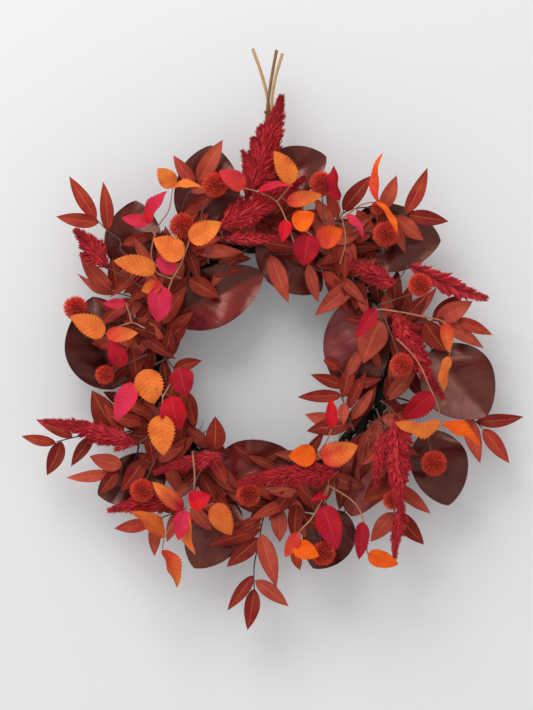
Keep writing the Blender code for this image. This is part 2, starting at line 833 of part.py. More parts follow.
def make_beech_sprays(ring, finish):
    def spray(where, depth, stems, leaves):
        leaf_pick(f"beech_spray_{where}", BEECH, depth, stems, leaves, finish, ring)

    spray(
        "upper_left",
        50,
        [
            [(-108, 96), (-127, 104), (-140, 116), (-141, 132), (-134, 156), (-121, 176), (-116, 203)],
            [(-137, 146), (-146, 160)],
        ],
        [
            (-115, 205, -134, 226, 21, 0, 4),
            (-117, 204, -81, 205, 9, 0, 4),
            (-146, 161, -177, 167, 15, 0, 2),
            (-146, 161, -123, 199, 16, 0, 6),
        ],
    )
    spray(
        "left_top",
        64,
        [
            [(-122, 78), (-116, 94), (-106, 112), (-97, 136)],
            [(-116, 94), (-134, 100)],
            [(-122, 78), (-130, 86)],
        ],
        [
            (-96, 141, -58, 161, 26, 0, 4),
            (-104, 120, -138, 142, 28, 0, 4),
            (-136, 104, -186, 116, 23, 0, -4),
            (-112, 104, -136, 118, 20, 0, -3),
            (-129, 88, -153, 80, 16, 0, -3),
            (-131, 86, -133, 42, 28, 0, -4),
        ],
    )
    spray(
        "top",
        60,
        [
            [(28, 139), (20, 162), (8, 186), (-12, 197), (-30, 202)],
            [(8, 186), (26, 207)],
        ],
        [
            (-31, 202, -60, 223, 22, 0, 3),
            (-14, 197, 28, 205, 9, 4, 8),
            (27, 208, 5, 246, 23, 0, 3),
            (20, 186, 62, 194, 18, 0, 4),
            (20, 164, 15, 138, 15, 0, 4),
        ],
    )
    spray(
        "top_centre",
        70,
        [
            [(56, 131), (52, 142), (44, 150), (30, 156)],
            [(56, 131), (68, 136)],
        ],
        [
            (28, 157, 52, 172, 24, 0, 4),
            (46, 146, 40, 110, 30, 0, -4),
            (56, 138, 86, 152, 26, 0, 3),
        ],
    )
    spray(
        "top_right",
        58,
        [
            [(84, 114), (90, 140), (86, 166), (82, 186)],
            [(86, 166), (108, 182), (127, 186)],
        ],
        [
            (82, 188, 77, 229, 13, 0, 3),
            (90, 170, 112, 144, 9, 0, 8),
            (128, 187, 131, 245, 9, 0, 0),
            (127, 186, 152, 148, 8, 0, 16),
        ],
    )
    spray(
        "right",
        52,
        [
            [(136, 58), (160, 54), (190, 48), (208, 42), (216, 22), (214, 3)],
            [(136, 58), (127, 58)],
        ],
        [
            (209, 41, 213, 7, 15, 0, 6),
            (214, 2, 207, -40, 11, 0, 0),
            (126, 58, 102, 24, 17, 0, 3),
        ],
    )
    spray(
        "left",
        48,
        [
            [(-150, 36), (-165, 42), (-184, 36), (-197, 28)],
            [(-165, 42), (-172, 66)],
            [(-184, 36), (-180, 8), (-172, -8)],
        ],
        [
            (-198, 28, -238, 50, 25, 0, 4),
            (-195, 28, -158, 30, 18, 0, 5),
            (-173, 66, -199, 65, 12, 0, 3),
            (-174, -9, -193, 22, 21, 0, 6),
        ],
    )
    spray(
        "inner_left",
        58,
        [
            [(-136, -36), (-128, -46), (-130, -66)],
            [(-128, -46), (-118, -30), (-108, -14)],
            [(-136, -36), (-160, -30)],
        ],
        [
            (-162, -30, -184, -74, 24, 0, -2),
            (-150, -14, -138, -55, 32, 0, -6),
            (-108, -12, -100, -46, 28, 0, 2),
            (-130, -68, -127, -116, 30, 0, 3),
            (-118, -46, -107, -86, 30, 0, -5),
        ],
    )
    spray(
        "right_lower",
        62,
        [[(152, 22), (166, 8), (178, -8), (190, -35), (199, -55), (204, -78)]],
        [
            (203, -79, 148, -76, 19, 0, 14),
            (205, -79, 251, -103, 15, 0, 3),
            (193, -42, 158, -72, 26, 0, -8),
        ],
    )
    spray(
        "inner_bottom",
        76,
        [
            [(60, -118), (57, -112)],
            [(57, -112), (66, -100), (73, -84)],
        ],
        [
            (54, -115, 22, -116, 25, 0, 2),
            (60, -117, 104, -104, 28, 0, 2),
            (73, -82, 72, -48, 14, 0, -4),
        ],
    )
    spray(
        "bottom_left",
        54,
        [
            [(-92, -113), (-90, -150), (-98, -178), (-114, -194), (-126, -215), (-128, -228)],
            [(-98, -178), (-82, -178), (-68, -173)],
        ],
        [
            (-104, -180, -140, -148, 19, 0, 4),
            (-96, -174, -71, -164, 23, 0, 4),
            (-100, -182, -109, -217, 20, 0, 5),
            (-98, -184, -92, -235, 12, 0, 0),
            (-66, -174, -46, -211, 26, 0, 2),
            (-127, -214, -164, -182, 17, 0, 4),
            (-128, -229, -110, -273, 15, 0, 2),
        ],
    )
    spray(
        "bottom_right",
        52,
        [
            [(66, -127), (70, -152), (64, -174)],
            [(70, -152), (52, -188), (36, -206), (28, -222)],
            [(70, -152), (100, -172), (112, -196), (116, -232)],
        ],
        [
            (64, -176, 80, -228, 29, 0, 3),
            (68, -164, 48, -170, 8, 0, 4),
            (28, -224, 58, -236, 22, 0, 4),
            (34, -208, 18, -238, 15, 0, -4),
            (110, -196, 106, -240, 17, 0, 4),
            (117, -234, 153, -246, 20, 0, 3),
        ],
    )


def make_celosia_picks(ring, finish):
    def pick(where, depth, stems, plumes):
        plume_pick(f"celosia_pick_{where}", depth, stems, plumes, finish, ring)

    pick("top", 30, [[(-30, 141), (-32, 165), (-28, 190)]], [(-28, 193, 13, 312, 34, 0, 3)])
    pick(
        "top_centre",
        46,
        [[(-50, 139), (-56, 144), (-60, 154)]],
        [(-60, 156, 40, 215, 26, 0, -4), (-54, 143, 16, 145, 13, 0, 2)],
    )
    pick(
        "right",
        38,
        [[(116, 84), (128, 94), (150, 92), (164, 108)], [(128, 94), (148, 60)]],
        [
            (152, 86, 94, 112, 20, 7, 12),
            (166, 111, 258, 72, 30, 0, 0),
            (147, 58, 206, -46, 22, 0, 0),
        ],
    )
    pick("upper_left", 40, [[(-130, 72), (-165, 92), (-192, 107)]], [(-194, 108, -232, 152, 24, 0, 3)])
    pick("lower_left", 42, [[(-132, -54), (-140, -86), (-157, -102)]], [(-159, -103, -268, -76, 22, 0, 0)])
    pick(
        "bottom_left",
        40,
        [[(-76, -122), (-68, -117), (-58, -116)], [(-76, -122), (-92, -150), (-112, -172)]],
        [(-56, -116, -136, -137, 16, 0, 0), (-114, -173, -192, -183, 20, -8, -12)],
    )
    pick("bottom", 62, [[(92, -99), (88, -116), (82, -132)]], [(81, -133, -38, -150, 22, 0, -2)])
    pick(
        "bottom_right",
        58,
        [[(134, -52), (144, -60), (150, -68)], [(144, -60), (137, -84)]],
        [
            (150, -70, 158, -190, 24, 0, 0),
            (157, -176, 149, -237, 13, 0, -8),
            (137, -86, 127, -150, 14, 0, -4),
        ],
    )


def make_ball_picks(ring, finish):
    def pick(where, depth, stems, heads):
        ball_pick(f"ball_pick_{where}", depth, stems, heads, finish, ring)

    pick(
        "top_left",
        42,
        [[(-74, 115), (-76, 146), (-82, 172), (-70, 196)], [(-76, 146), (-96, 154)]],
        [(-66, 207, 16, 4), (-105, 158, 16, 4)],
    )
    pick(
        "top_right",
        42,
        [[(62, 129), (64, 165), (62, 196)], [(64, 165), (100, 156), (126, 152), (128, 170)]],
        [(62, 208, 16, 0), (138, 148, 16, 4), (129, 180, 9, 4)],
    )
    pick(
        "right",
        48,
        [[(131, 64), (150, 70), (172, 78)], [(131, 64), (140, 40), (152, 8)]],
        [(178, 87, 15, 14), (157, -8, 15, 4)],
    )
    pick(
        "lower_right",
        34,
        [
            [(120, -76), (146, -84), (176, -86), (188, -94), (193, -112)],
            [(146, -84), (140, -120), (146, -155)],
        ],
        [(196, -126, 16, 4), (147, -170, 13, 6)],
    )
    pick(
        "bottom",
        34,
        [[(38, -137), (20, -152), (-12, -161)], [(38, -137), (50, -170), (60, -216)]],
        [(-26, -164, 15, 2), (64, -234, 15, 2)],
    )
    pick(
        "lower_left",
        36,
        [[(-120, -76), (-134, -112), (-148, -146)]],
        [(-153, -158, 15, 14), (-113, -68, 14, 2)],
    )
    pick(
        "left",
        34,
        [[(-148, 4), (-170, -6), (-186, -15)], [(-170, -6), (-205, 28), (-225, 52)]],
        [(-233, 60, 15, 2), (-198, -20, 12, 2)],
    )


def main():
    remove_everything()
    steel = material("wire_steel", (0.09, 0.085, 0.08), 0.45, 0.9)
    bark = material("vine_bark", (0.035, 0.028, 0.02), 0.9)
    paper = material("hanger_paper", (0.45, 0.27, 0.1), 0.75)
    magnolia = material("magnolia_leaf", (0.07, 0.015, 0.017), 0.42)
    willow = material("willow_leaf", (0.35, 0.055, 0.035), 0.55)
    beech = material("beech_leaf", (0.75, 0.15, 0.05), 0.6)
    celosia = material("celosia_plume", (0.42, 0.02, 0.045), 0.8)
    ball = material("ball_head", (0.5, 0.05, 0.03), 0.75)
    ring = empty("ring_centre", (0.0, 0.0, RING_HEIGHT * MM))
    make_hoop(ring, steel)
    make_strands(ring, bark)
    make_binding_wires(ring, steel)
    make_hanging_loop(ring, steel)
    make_hanger_stems(ring, paper)
    make_hanger_tie(ring, steel)
    make_magnolia_picks(ring, magnolia)
    make_willow_sprays(ring, willow)
    make_beech_sprays(ring, beech)
    make_celosia_picks(ring, celosia)
    make_ball_picks(ring, ball)


main()
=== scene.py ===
"""Harvest door wreath, dressed: satin magnolia leaves, rust willow leaves, toothed beech leaves,
celosia plumes and spiky ball heads on their stems, over mossy vines and a wire hoop.

Lengths inside the makers are in millimetres, in the ring's own frame: x to the right, z up from
the ring's centre, and depth forward of the hoop's plane. They become metres when a piece's mesh
is made.
"""

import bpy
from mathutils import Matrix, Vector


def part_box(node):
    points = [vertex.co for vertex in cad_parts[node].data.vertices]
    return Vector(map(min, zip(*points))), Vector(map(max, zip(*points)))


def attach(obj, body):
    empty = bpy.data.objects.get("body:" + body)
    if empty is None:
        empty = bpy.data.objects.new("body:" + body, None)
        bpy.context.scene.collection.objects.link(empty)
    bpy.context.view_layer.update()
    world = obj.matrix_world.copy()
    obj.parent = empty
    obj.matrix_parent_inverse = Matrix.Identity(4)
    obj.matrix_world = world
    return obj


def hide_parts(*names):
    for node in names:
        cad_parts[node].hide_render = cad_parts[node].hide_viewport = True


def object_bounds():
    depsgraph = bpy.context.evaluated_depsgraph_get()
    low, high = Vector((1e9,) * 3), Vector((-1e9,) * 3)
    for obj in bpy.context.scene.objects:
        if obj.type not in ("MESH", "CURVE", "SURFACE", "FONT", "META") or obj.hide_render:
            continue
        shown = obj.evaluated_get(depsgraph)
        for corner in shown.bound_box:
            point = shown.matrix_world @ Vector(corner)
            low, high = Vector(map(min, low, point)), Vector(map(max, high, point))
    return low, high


bl_info = {
    "name": "Harvest Door Wreath",
    "version": (1, 0, 0),
    "blender": (4, 5, 0),
    "location": "View3D > Sidebar > Wreath",
    "description": "Dresses the wreath's frame with leaves, plumes, ball heads, vines and moss",
    "category": "Add Mesh",
}

import math

import bpy
import numpy as np
from bpy.props import FloatProperty, FloatVectorProperty, IntProperty, PointerProperty

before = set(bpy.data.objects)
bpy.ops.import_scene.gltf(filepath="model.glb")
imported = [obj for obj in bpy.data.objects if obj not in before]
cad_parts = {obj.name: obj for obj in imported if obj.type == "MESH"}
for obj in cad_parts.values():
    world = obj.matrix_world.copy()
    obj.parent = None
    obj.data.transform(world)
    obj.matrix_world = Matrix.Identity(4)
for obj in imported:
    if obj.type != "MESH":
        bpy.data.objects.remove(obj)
CAD_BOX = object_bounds()

MM = 0.001
GOLDEN_TURN = math.pi * (3 - math.sqrt(5))
FORWARD = np.array((0.0, 0.0, 1.0))

# Ring, as the frame has it
HOOP_WIRE = 3.6
STRAND_DIAMETER = 12.0
STRAND_LAY = 9.0
STRAND_TURNS = 7
STRAND_END_GAP = 10.0
STRAND_SEAM = 15.0
BINDING_WIRE = 1.2
BINDING_ANGLES = (46.0, 127.3, 226.8, 350.0)
LOOP_WIRE = 1.8
LOOP_WIDTH = 24.0
LOOP_HEIGHT = 32.0
EYE_CLEARANCE = 0.4
EYE_START = 50  # degrees round the hoop's wire from straight below it
EYE_END = -250
EYE_STEP = 10
LEG_START = 8.0
HANGER_DIAMETER = 3.5
HANGER_TIE_WIRE = 1.0
HANGER_TIE_HEIGHT = 297.0
LAYOUT_RADIUS = 142.0
STEM_DIAMETER = 2.6
HEAVY_STEM = 3.2
PETIOLE_RADIUS = 0.9
CLEARANCE = 0.3

HOOP_LOW, HOOP_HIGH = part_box("frame_hoop")
RING_HEIGHT = (HOOP_LOW.z + HOOP_HIGH.z) / 2
RING_RADIUS = round((HOOP_HIGH.x - HOOP_LOW.x) / 2 / MM - HOOP_WIRE / 2)
LAYOUT_SCALE = RING_RADIUS / LAYOUT_RADIUS
STRAND_RADIUS = STRAND_DIAMETER / 2
BUNDLE_RADIUS = STRAND_LAY + STRAND_RADIUS
BUNDLE_DEPTH = HOOP_WIRE / 2 + CLEARANCE + BUNDLE_RADIUS
RING_FRONT = BUNDLE_DEPTH + BUNDLE_RADIUS

# How finely the round pieces are drawn
HOOP_STEPS, HOOP_SIDES = 160, 12
TIE_TURNS, TIE_STEPS, TIE_SIDES = 2, 36, 8
VINE_STEPS, VINE_SIDES, VINE_KNOTS = 300, 16, 9
BAIL_SIDES, ARCH_POINTS = 10, 37
PAPER_STEPS, PAPER_SIDES = 26, 12
STEM_STEPS, STEM_SIDES = 7, 8
SHARP_ANGLE = math.radians(62)

# Each maker's random draws start from its own number.
SEEDS = {"vines": 40, "moss": 7, "under": 77, "celosia": 500, "balls": 800, "leaves": 1000}

# Leaf kinds. A blade's half width follows share**swell * (1 - share)**taper.
LEAVES = {
    "magnolia": {
        "rows": 48, "columns": 21, "swell": 0.62, "taper": 0.74, "natural": 0.5, "arch": 0.05,
        "cup": 0.2, "curl": 0.07, "ripple": 0.16, "waves": 1.3, "veins": 8, "slant": 0.22,
        "pleat": 0.5, "teeth": 0, "tooth": 0.0, "lines": 0, "tints": ("wine", "plum"),
        "broad": 1.12, "billow": 0.24,
    },
    "willow": {
        "rows": 26, "columns": 11, "swell": 0.66, "taper": 1.0, "natural": 0.3, "arch": 0.06,
        "cup": 0.3, "curl": 0.07, "ripple": 0.08, "waves": 1.2, "veins": 0, "slant": 0.0,
        "pleat": 0.25, "teeth": 0, "tooth": 0.0, "lines": 3,
        "tints": ("rust", "rose_rust", "dark_rust"), "broad": 1.1, "billow": 0.1,
    },
    "beech": {
        "rows": 61, "columns": 13, "swell": 0.52, "taper": 0.86, "natural": 0.55, "arch": 0.07,
        "cup": 0.3, "curl": 0.12, "ripple": 0.16, "waves": 1.6, "veins": 8, "slant": 0.2,
        "pleat": 0.6, "teeth": 12, "tooth": 0.2, "lines": 0, "tints": ("orange", "crimson"),
        "broad": 1.08, "billow": 0.1,
    },
}

# The arrangement, drawn for LAYOUT_RADIUS: each pick's name, its depth forward of the vines'
# front, its stems and what they carry. A leaf is (base x, z, tip x, z, width, how far forward
# its base and its tip stand, tint); two tints with a slash run from its base to its tip.
MAGNOLIA_PICKS = (
    ("top_left", 6,
     (((-104, 101), (-124, 122), (-145, 112), (-163, 102)), ((-124, 122), (-104, 140), (-87, 149))),
     ((-165, 100, -162, 190, 62, 0, 4, "plum"), (-85, 150, -71, 257, 72, 0, 4, "plum"))),
    ("left", 6,
     (((-143, -14), (-160, -18), (-176, -26), (-189, -37)),),
     ((-190, -38, -214, 74, 84, 0, 4, "wine"), (-162, -22, -160, -92, 42, 0, 2, "wine"))),
    ("inner_left", 8, (((-134, 46), (-126, 49)),),
     ((-125, 50, -8, 103, 64, 0, 2, "wine|wine_red"),)),
    ("top_right", 9,
     (((76, 122), (81, 136), (89, 149)), ((81, 136), (60, 155), (14, 166), (2, 190), (-9, 204))),
     ((90, 150, 206, 141, 75, 0, 3, "wine/plum"), (-10, 205, 68, 243, 55, 1, 3, "wine/plum"),
      (-12, 150, 62, 80, 58, 0, -4, "plum"))),
    ("right", 7,
     (((122, 72), (112, 75)), ((122, 72), (143, 84), (172, 55), (188, 28), (195, 11))),
     # The paler half of the first leaf here is painted sheen.
     ((110, 75, 102, -52, 72, 0, 3, "plum|rosewood"), (195, 10, 262, -70, 80, 2, 6, "plum|mauve"))),
    ("bottom_left", 4,
     (((-112, -90), (-121, -112), (-124, -128)),
      ((-121, -112), (-96, -148), (-74, -160), (-50, -168))),
     ((-125, -130, -208, -165, 56, 0, 4, "wine"), (-48, -168, -92, -254, 62, 0, 2, "plum"),
      (-72, -158, 24, -114, 64, 2, 10, "wine_red/plum"))),
    ("bottom_right", 5,
     (((126, -70), (130, -84)), ((130, -84), (150, -82), (189, -86)),
      ((130, -84), (132, -120), (110, -160), (91, -184))),
     # The paler half of the first leaf here is painted sheen.
     ((130, -87, 98, -191, 62, 5, 8, "rosewood|wine_red"), (190, -87, 216, -178, 62, 0, 3, "wine"),
      (90, -186, 52, -254, 56, 0, 3, "wine"))),
)

WILLOW_PICKS = (
    ("upper_left", 24,
     (((-117, 95), (-150, 110), (-178, 128), (-180, 141), (-195, 153), (-208, 166)),),
     ((-209, 168, -241, 218, 16, 0, 4), (-206, 163, -257, 170, 16, 0, -2),
      (-195, 154, -200, 211, 15, 0, 8))),
    ("left", 22,
     (((-128, 62), (-150, 68), (-168, 74), (-188, 79)),
      ((-160, 72), (-165, 50), (-160, 28), (-172, 12), (-193, 10))),
     ((-190, 80, -228, 122, 18, 0, 6), (-184, 79, -191, 122, 16, 0, -2),
      (-188, 77, -232, 101, 9, 0, -4), (-160, 71, -157, 96, 18, 0, 6),
      (-165, 50, -212, 72, 14, 0, 4), (-194, 10, -215, 27, 10, 0, 2),
      (-160, 18, -186, 22, 14, 2, 6))),
    ("inner_left", 22,
     (((-138, -8), (-126, 0), (-124, 16), (-132, 44)), ((-126, 0), (-115, -14), (-102, -38))),
     ((-133, 45, -145, 13, 14, 0, -4), (-126, 18, -98, 45, 20, 0, 6, "dark_rust"),
      (-124, 4, -112, 28, 14, 0, -4), (-116, -14, -82, -3, 14, 0, 2, "dark_rust"),
      (-101, -40, -90, -85, 16, 0, 0, "dark_rust"))),
    ("lower_left", 20,
     (((-128, -62), (-160, -85), (-195, -93), (-223, -93), (-238, -96), (-257, -101)),
      ((-160, -85), (-158, -105), (-164, -125), (-178, -131), (-191, -137)),
      ((-164, -125), (-148, -121), (-131, -127), (-113, -124))),
     ((-238, -95, -281, -74, 14, 0, 4), (-258, -102, -299, -94, 12, 0, 0),
      (-251, -101, -268, -141, 18, 0, 4), (-214, -95, -239, -130, 14, 0, 4),
      (-178, -130, -217, -118, 19, 0, 3), (-192, -138, -245, -144, 13, 0, 0),
      (-184, -136, -205, -164, 16, 0, 3), (-152, -123, -179, -160, 20, 0, 5),
      (-186, -90, -214, -39, 28, 0, 3, "dark_rust"))),
    ("bottom_left", 24,
     (((-84, -122), (-88, -150), (-98, -178), (-125, -190), (-143, -197)),
      ((-84, -122), (-80, -112), (-69, -111))),
     ((-67, -112, -66, -70, 22, 0, 4, "dark_rust"), (-144, -198, -187, -205, 15, 0, 2),
      (-138, -196, -139, -238, 14, 0, 0), (-112, -186, -124, -221, 13, 0, 4))),
    ("bottom", 22,
     (((34, -141), (31, -160), (14, -174), (-6, -188), (-14, -225), (-19, -250), (-19, -279)),
      ((31, -160), (33, -178), (31, -206), (29, -230))),
     ((24, -172, -25, -194, 14, 0, 12), (-12, -206, -73, -225, 16, 0, 6),
      (-10, -200, -58, -206, 13, 0, 0), (-13, -217, -52, -251, 19, 0, 4),
      (-11, -212, 8, -275, 20, 0, 6), (-20, -262, -51, -303, 14, 0, 4),
      (-19, -278, -27, -327, 17, 0, 0), (-17, -268, 22, -298, 16, 0, 6),
      (32, -176, 28, -218, 17, 2, 12), (36, -163, -8, -156, 12, 2, 6),
      (29, -230, 36, -255, 12, 0, 2), (10, -179, 12, -222, 18, 0, -6))),
    ("bottom_right", 24, (((128, -62), (140, -96), (150, -135), (150, -184)),),
     ((151, -152, 193, -187, 15, 0, 0), (151, -186, 185, -224, 19, 0, 3),
      (149, -186, 121, -221, 19, 0, 0))),
    ("inner_right", 24,
     (((101, -87), (95, -74), (90, -56), (86, -44), (92, -28), (84, -14)),),
     ((84, -13, 64, -2, 12, 0, 3, "dark_rust"), (90, -34, 49, -20, 14, 0, 4, "dark_rust"),
      (86, -45, 33, -47, 14, 0, 0, "dark_rust"), (89, -54, 88, -80, 12, 2, 6),
      (96, -80, 44, -88, 19, 0, -6), (92, -84, 42, -68, 18, 0, -13))),
    ("right_tip", 1,
     (((147, -46), (190, -58), (225, -66), (240, -71), (249, -77), (257, -85)),),
     ((250, -77, 306, -71, 15, 0, 6), (258, -86, 289, -127, 17, 0, 4),
      (239, -72, 254, -127, 18, 0, 2))),
    ("right", 23,
     (((142, 38), (160, 41), (185, 43), (205, 46), (223, 46)), ((142, 38), (135, 46))),
     ((200, 46, 243, 68, 22, 0, 6), (196, 45, 232, 76, 18, 0, -2), (224, 46, 267, 28, 14, 0, 4),
      (202, 45, 257, 12, 16, 0, -3), (186, 43, 212, 8, 24, 0, 0, "dark_rust"),
      (133, 45, 112, -6, 34, 2, 10, "rose_rust"))),
    ("top_right", 26,
     (((70, 126), (78, 150), (88, 174), (120, 181), (145, 171), (166, 173)),
      ((78, 150), (98, 134))),
     ((88, 178, 122, 219, 18, 0, 5), (92, 176, 105, 208, 14, 0, -4),
      (134, 177, 152, 219, 16, 0, 4), (163, 174, 189, 228, 16, 0, 5),
      (167, 172, 214, 164, 17, 0, 3), (152, 170, 185, 141, 18, 0, -4),
      (98, 133, 60, 112, 16, 0, 2), (88, 142, 104, 117, 14, 0, 4))),
    ("top_inner", 22,
     (((40, 136), (28, 127), (2, 124)), ((40, 136), (46, 114), (62, 104), (88, 98), (106, 92))),
     ((0, 123, 22, 67, 20, 0, 4), (46, 112, 58, 67, 14, 0, -3), (63, 104, 95, 75, 14, 0, 4),
      (102, 92, 54, 51, 21, 0, 10), (107, 92, 103, 58, 20, 0, 2))),
    ("top_left", 22,
     (((-97, 108), (-103, 135), (-108, 165), (-101, 193), (-88, 211)),
      ((-103, 135), (-90, 129)), ((-97, 108), (-98, 96))),
     ((-91, 209, -116, 243, 15, 0, 4, "rose_rust"), (-87, 212, -57, 262, 20, 0, 2, "rose_rust"),
      (-106, 172, -84, 152, 15, 0, -3), (-90, 129, -31, 127, 16, 0, 3),
      (-98, 95, -60, 72, 20, 0, 3, "dark_rust"))),
)
DARK_STEMS = ("lower_left", "right_tip", "bottom")

BEECH_PICKS = (
    ("upper_left", 50,
     (((-108, 96), (-127, 104), (-140, 116), (-141, 132), (-134, 156), (-121, 176), (-116, 203)),
      ((-137, 146), (-146, 160))),
     ((-115, 205, -134, 226, 21, 0, 4, "orange"), (-117, 204, -81, 205, 9, 0, 4, "orange"),
      (-146, 161, -177, 167, 15, 0, 2, "pink"), (-146, 161, -123, 199, 16, 0, 6, "red/pink"))),
    ("left_top", 64,
     (((-122, 78), (-116, 94), (-106, 112), (-97, 136)), ((-116, 94), (-134, 100)),
      ((-122, 78), (-130, 86))),
     ((-96, 141, -58, 161, 26, 0, 4, "orange"), (-104, 120, -138, 142, 28, 0, 4, "orange"),
      (-136, 104, -186, 116, 23, 0, -4, "orange"), (-112, 104, -136, 118, 20, 0, -3, "pink"),
      (-129, 88, -153, 80, 16, 0, -3, "coral/orange"),
      (-131, 86, -133, 42, 28, 0, -4, "pink"))),
    ("top", 60,
     (((28, 139), (20, 162), (8, 186), (-12, 197), (-30, 202)), ((8, 186), (26, 207))),
     ((-31, 202, -60, 223, 22, 0, 3, "coral/pink"), (-14, 197, 28, 205, 9, 4, 8, "red/pink"),
      (27, 208, 5, 246, 23, 0, 3, "orange"), (20, 186, 62, 194, 18, 0, 4, "coral/orange"),
      (20, 164, 15, 138, 15, 0, 4, "red"))),
    ("top_centre", 70,
     (((56, 131), (52, 142), (44, 150), (30, 156)), ((56, 131), (68, 136))),
     ((28, 157, 52, 172, 24, 0, 4, "bright_orange"), (46, 146, 40, 110, 30, 0, -4, "crimson"),
      (56, 138, 86, 152, 26, 0, 3, "coral/bright_orange"))),
    ("top_right", 58,
     (((84, 114), (90, 140), (86, 166), (82, 186)), ((86, 166), (108, 182), (127, 186))),
     ((82, 188, 77, 229, 13, 0, 3, "crimson"), (90, 170, 112, 144, 9, 0, 8, "pink"),
      (128, 187, 131, 245, 9, 0, 0, "coral/bright_orange"),
      (127, 186, 152, 148, 8, 0, 16, "bright_orange"))),
    ("right", 52,
     (((136, 58), (160, 54), (190, 48), (208, 42), (216, 22), (214, 3)), ((136, 58), (127, 58))),
     ((209, 41, 213, 7, 15, 0, 6, "coral/orange"), (214, 2, 207, -40, 11, 0, 0, "orange"),
      (126, 58, 102, 24, 17, 0, 3, "crimson"))),
    ("left", 48,
     (((-150, 36), (-165, 42), (-184, 36), (-197, 28)), ((-165, 42), (-172, 66)),
      ((-184, 36), (-180, 8), (-172, -8))),
     ((-198, 28, -238, 50, 25, 0, 4, "orange"), (-195, 28, -158, 30, 18, 0, 5, "coral/orange"),
      (-173, 66, -199, 65, 12, 0, 3, "pink"), (-174, -9, -193, 22, 21, 0, 6, "crimson"))),
    ("inner_left", 58,
     (((-136, -36), (-128, -46), (-130, -66)), ((-128, -46), (-118, -30), (-108, -14)),
      ((-136, -36), (-160, -30))),
     ((-162, -30, -184, -74, 24, 0, -2, "pink"), (-150, -14, -138, -55, 32, 0, -6, "orange"),
      (-108, -12, -100, -46, 28, 0, 2, "crimson"), (-130, -68, -127, -116, 30, 0, 3, "orange"),
      (-118, -46, -107, -86, 30, 0, -5, "red/crimson"))),
    ("right_lower", 62,
     (((152, 22), (166, 8), (178, -8), (190, -35), (199, -55), (204, -78)),),
     ((203, -79, 148, -76, 19, 0, 14, "orange"), (205, -79, 251, -103, 15, 0, 3, "bright_orange"),
      (193, -42, 158, -72, 26, 0, -8, "crimson"))),
    ("inner_bottom", 76, (((60, -118), (57, -112)), ((57, -112), (66, -100), (73, -84))),
     ((54, -115, 22, -116, 25, 0, 2, "bright_orange"),
      (60, -117, 104, -104, 28, 0, 2, "coral/orange"), (73, -82, 72, -48, 14, 0, -4, "red"))),
    ("bottom_left", 54,
     (((-92, -113), (-90, -150), (-98, -178), (-114, -194), (-126, -215), (-128, -228)),
      ((-98, -178), (-82, -178), (-68, -173))),
     ((-104, -180, -140, -148, 19, 0, 4, "crimson/orange"), (-96, -174, -71, -164, 23, 0, 4, "red"),
      (-100, -182, -109, -217, 20, 0, 5, "pink"), (-98, -184, -92, -235, 12, 0, 0, "orange"),
      (-66, -174, -46, -211, 26, 0, 2, "tan_orange"),
      (-127, -214, -164, -182, 17, 0, 4, "tan_orange"),
      (-128, -229, -110, -273, 15, 0, 2, "coral/orange"))),
    ("bottom_right", 52,
     (((66, -127), (70, -152), (64, -174)), ((70, -152), (52, -188), (36, -206), (28, -222)),
      ((70, -152), (100, -172), (112, -196), (116, -232))),
     ((64, -176, 80, -228, 29, 0, 3, "crimson"), (68, -164, 48, -170, 8, 0, 4, "red"),
      (28, -224, 58, -236, 22, 0, 4, "bright_orange"), (34, -208, 18, -238, 15, 0, -4, "coral"),
      (110, -196, 106, -240, 17, 0, 4, "crimson"),
      (117, -234, 153, -246, 20, 0, 3, "bright_orange"))),
)

# Leaves that fill a pick out: length, width, and how far apart their pairs stand on a stem.
FILL_LEAVES = {"willow": (48.0, 16.0, 14.0)}
FILL_BAND = (98.0, 222.0)  # how far from the ring's centre a filling leaf's tip may be
FILL_FRONT = 17.0  # least distance of its tip forward of the vines' front, past the magnolias
UNDER_LEAVES = 156  # rooted between the vines
UNDER_TINTS = ("rust", "dark_rust", "rose_rust", "dark_rust")
NARROWEST = 0.75  # share of its natural width under which a blade is seen turned
MOST_ROLL = math.radians(52)
RIB_REACH = 0.86  # share of a blade's length that its petiole runs on behind it

# A plume is (base x, z, tip x, z, width, how far forward its base and its tip stand).
CELOSIA_PICKS = (
    ("top", 30, (((-30, 141), (-32, 165), (-28, 190)),), ((-28, 193, 13, 312, 34, 0, 3),)),
    ("top_centre", 46, (((-50, 139), (-56, 144), (-60, 154)),),
     ((-60, 156, 40, 215, 26, 0, -4), (-54, 143, 16, 145, 13, 0, 2))),
    ("right", 38,
     (((116, 84), (128, 94), (150, 92), (164, 108)), ((128, 94), (148, 60))),
     ((152, 86, 94, 112, 20, 7, 12), (166, 111, 258, 72, 30, 0, 0), (147, 58, 206, -46, 22, 0, 0))),
    ("upper_left", 40, (((-130, 72), (-165, 92), (-192, 107)),),
     ((-194, 108, -232, 152, 24, 0, 3),)),
    ("lower_left", 42, (((-132, -54), (-140, -86), (-157, -102)),),
     ((-159, -103, -268, -76, 22, 0, 0),)),
    ("bottom_left", 40,
     (((-76, -122), (-68, -117), (-58, -116)), ((-76, -122), (-92, -150), (-112, -172))),
     ((-56, -116, -136, -137, 16, 0, 0), (-114, -173, -192, -183, 20, -8, -12))),
    ("bottom", 62, (((92, -99), (88, -116), (82, -132)),), ((81, -133, -38, -150, 22, 0, -2),)),
    ("bottom_right", 58,
     (((134, -52), (144, -60), (150, -68)), ((144, -60), (137, -84))),
     ((150, -70, 158, -190, 24, 0, 0), (157, -176, 149, -237, 13, 0, -8),
      (137, -86, 127, -150, 14, 0, -4))),
)
TUFTS_APART = 9.0  # along a plume
PLUME_FLUFF = 1.12  # the florets stand this much wider than a plume's body
PLUME_SWAY = 0.03  # share of its length that a plume's middle bends aside
PLUME_OUTLINE = ((0, 0.12, 0.34, 0.6, 0.85, 1), (0.5, 0.86, 1.0, 0.78, 0.36, 0.08))
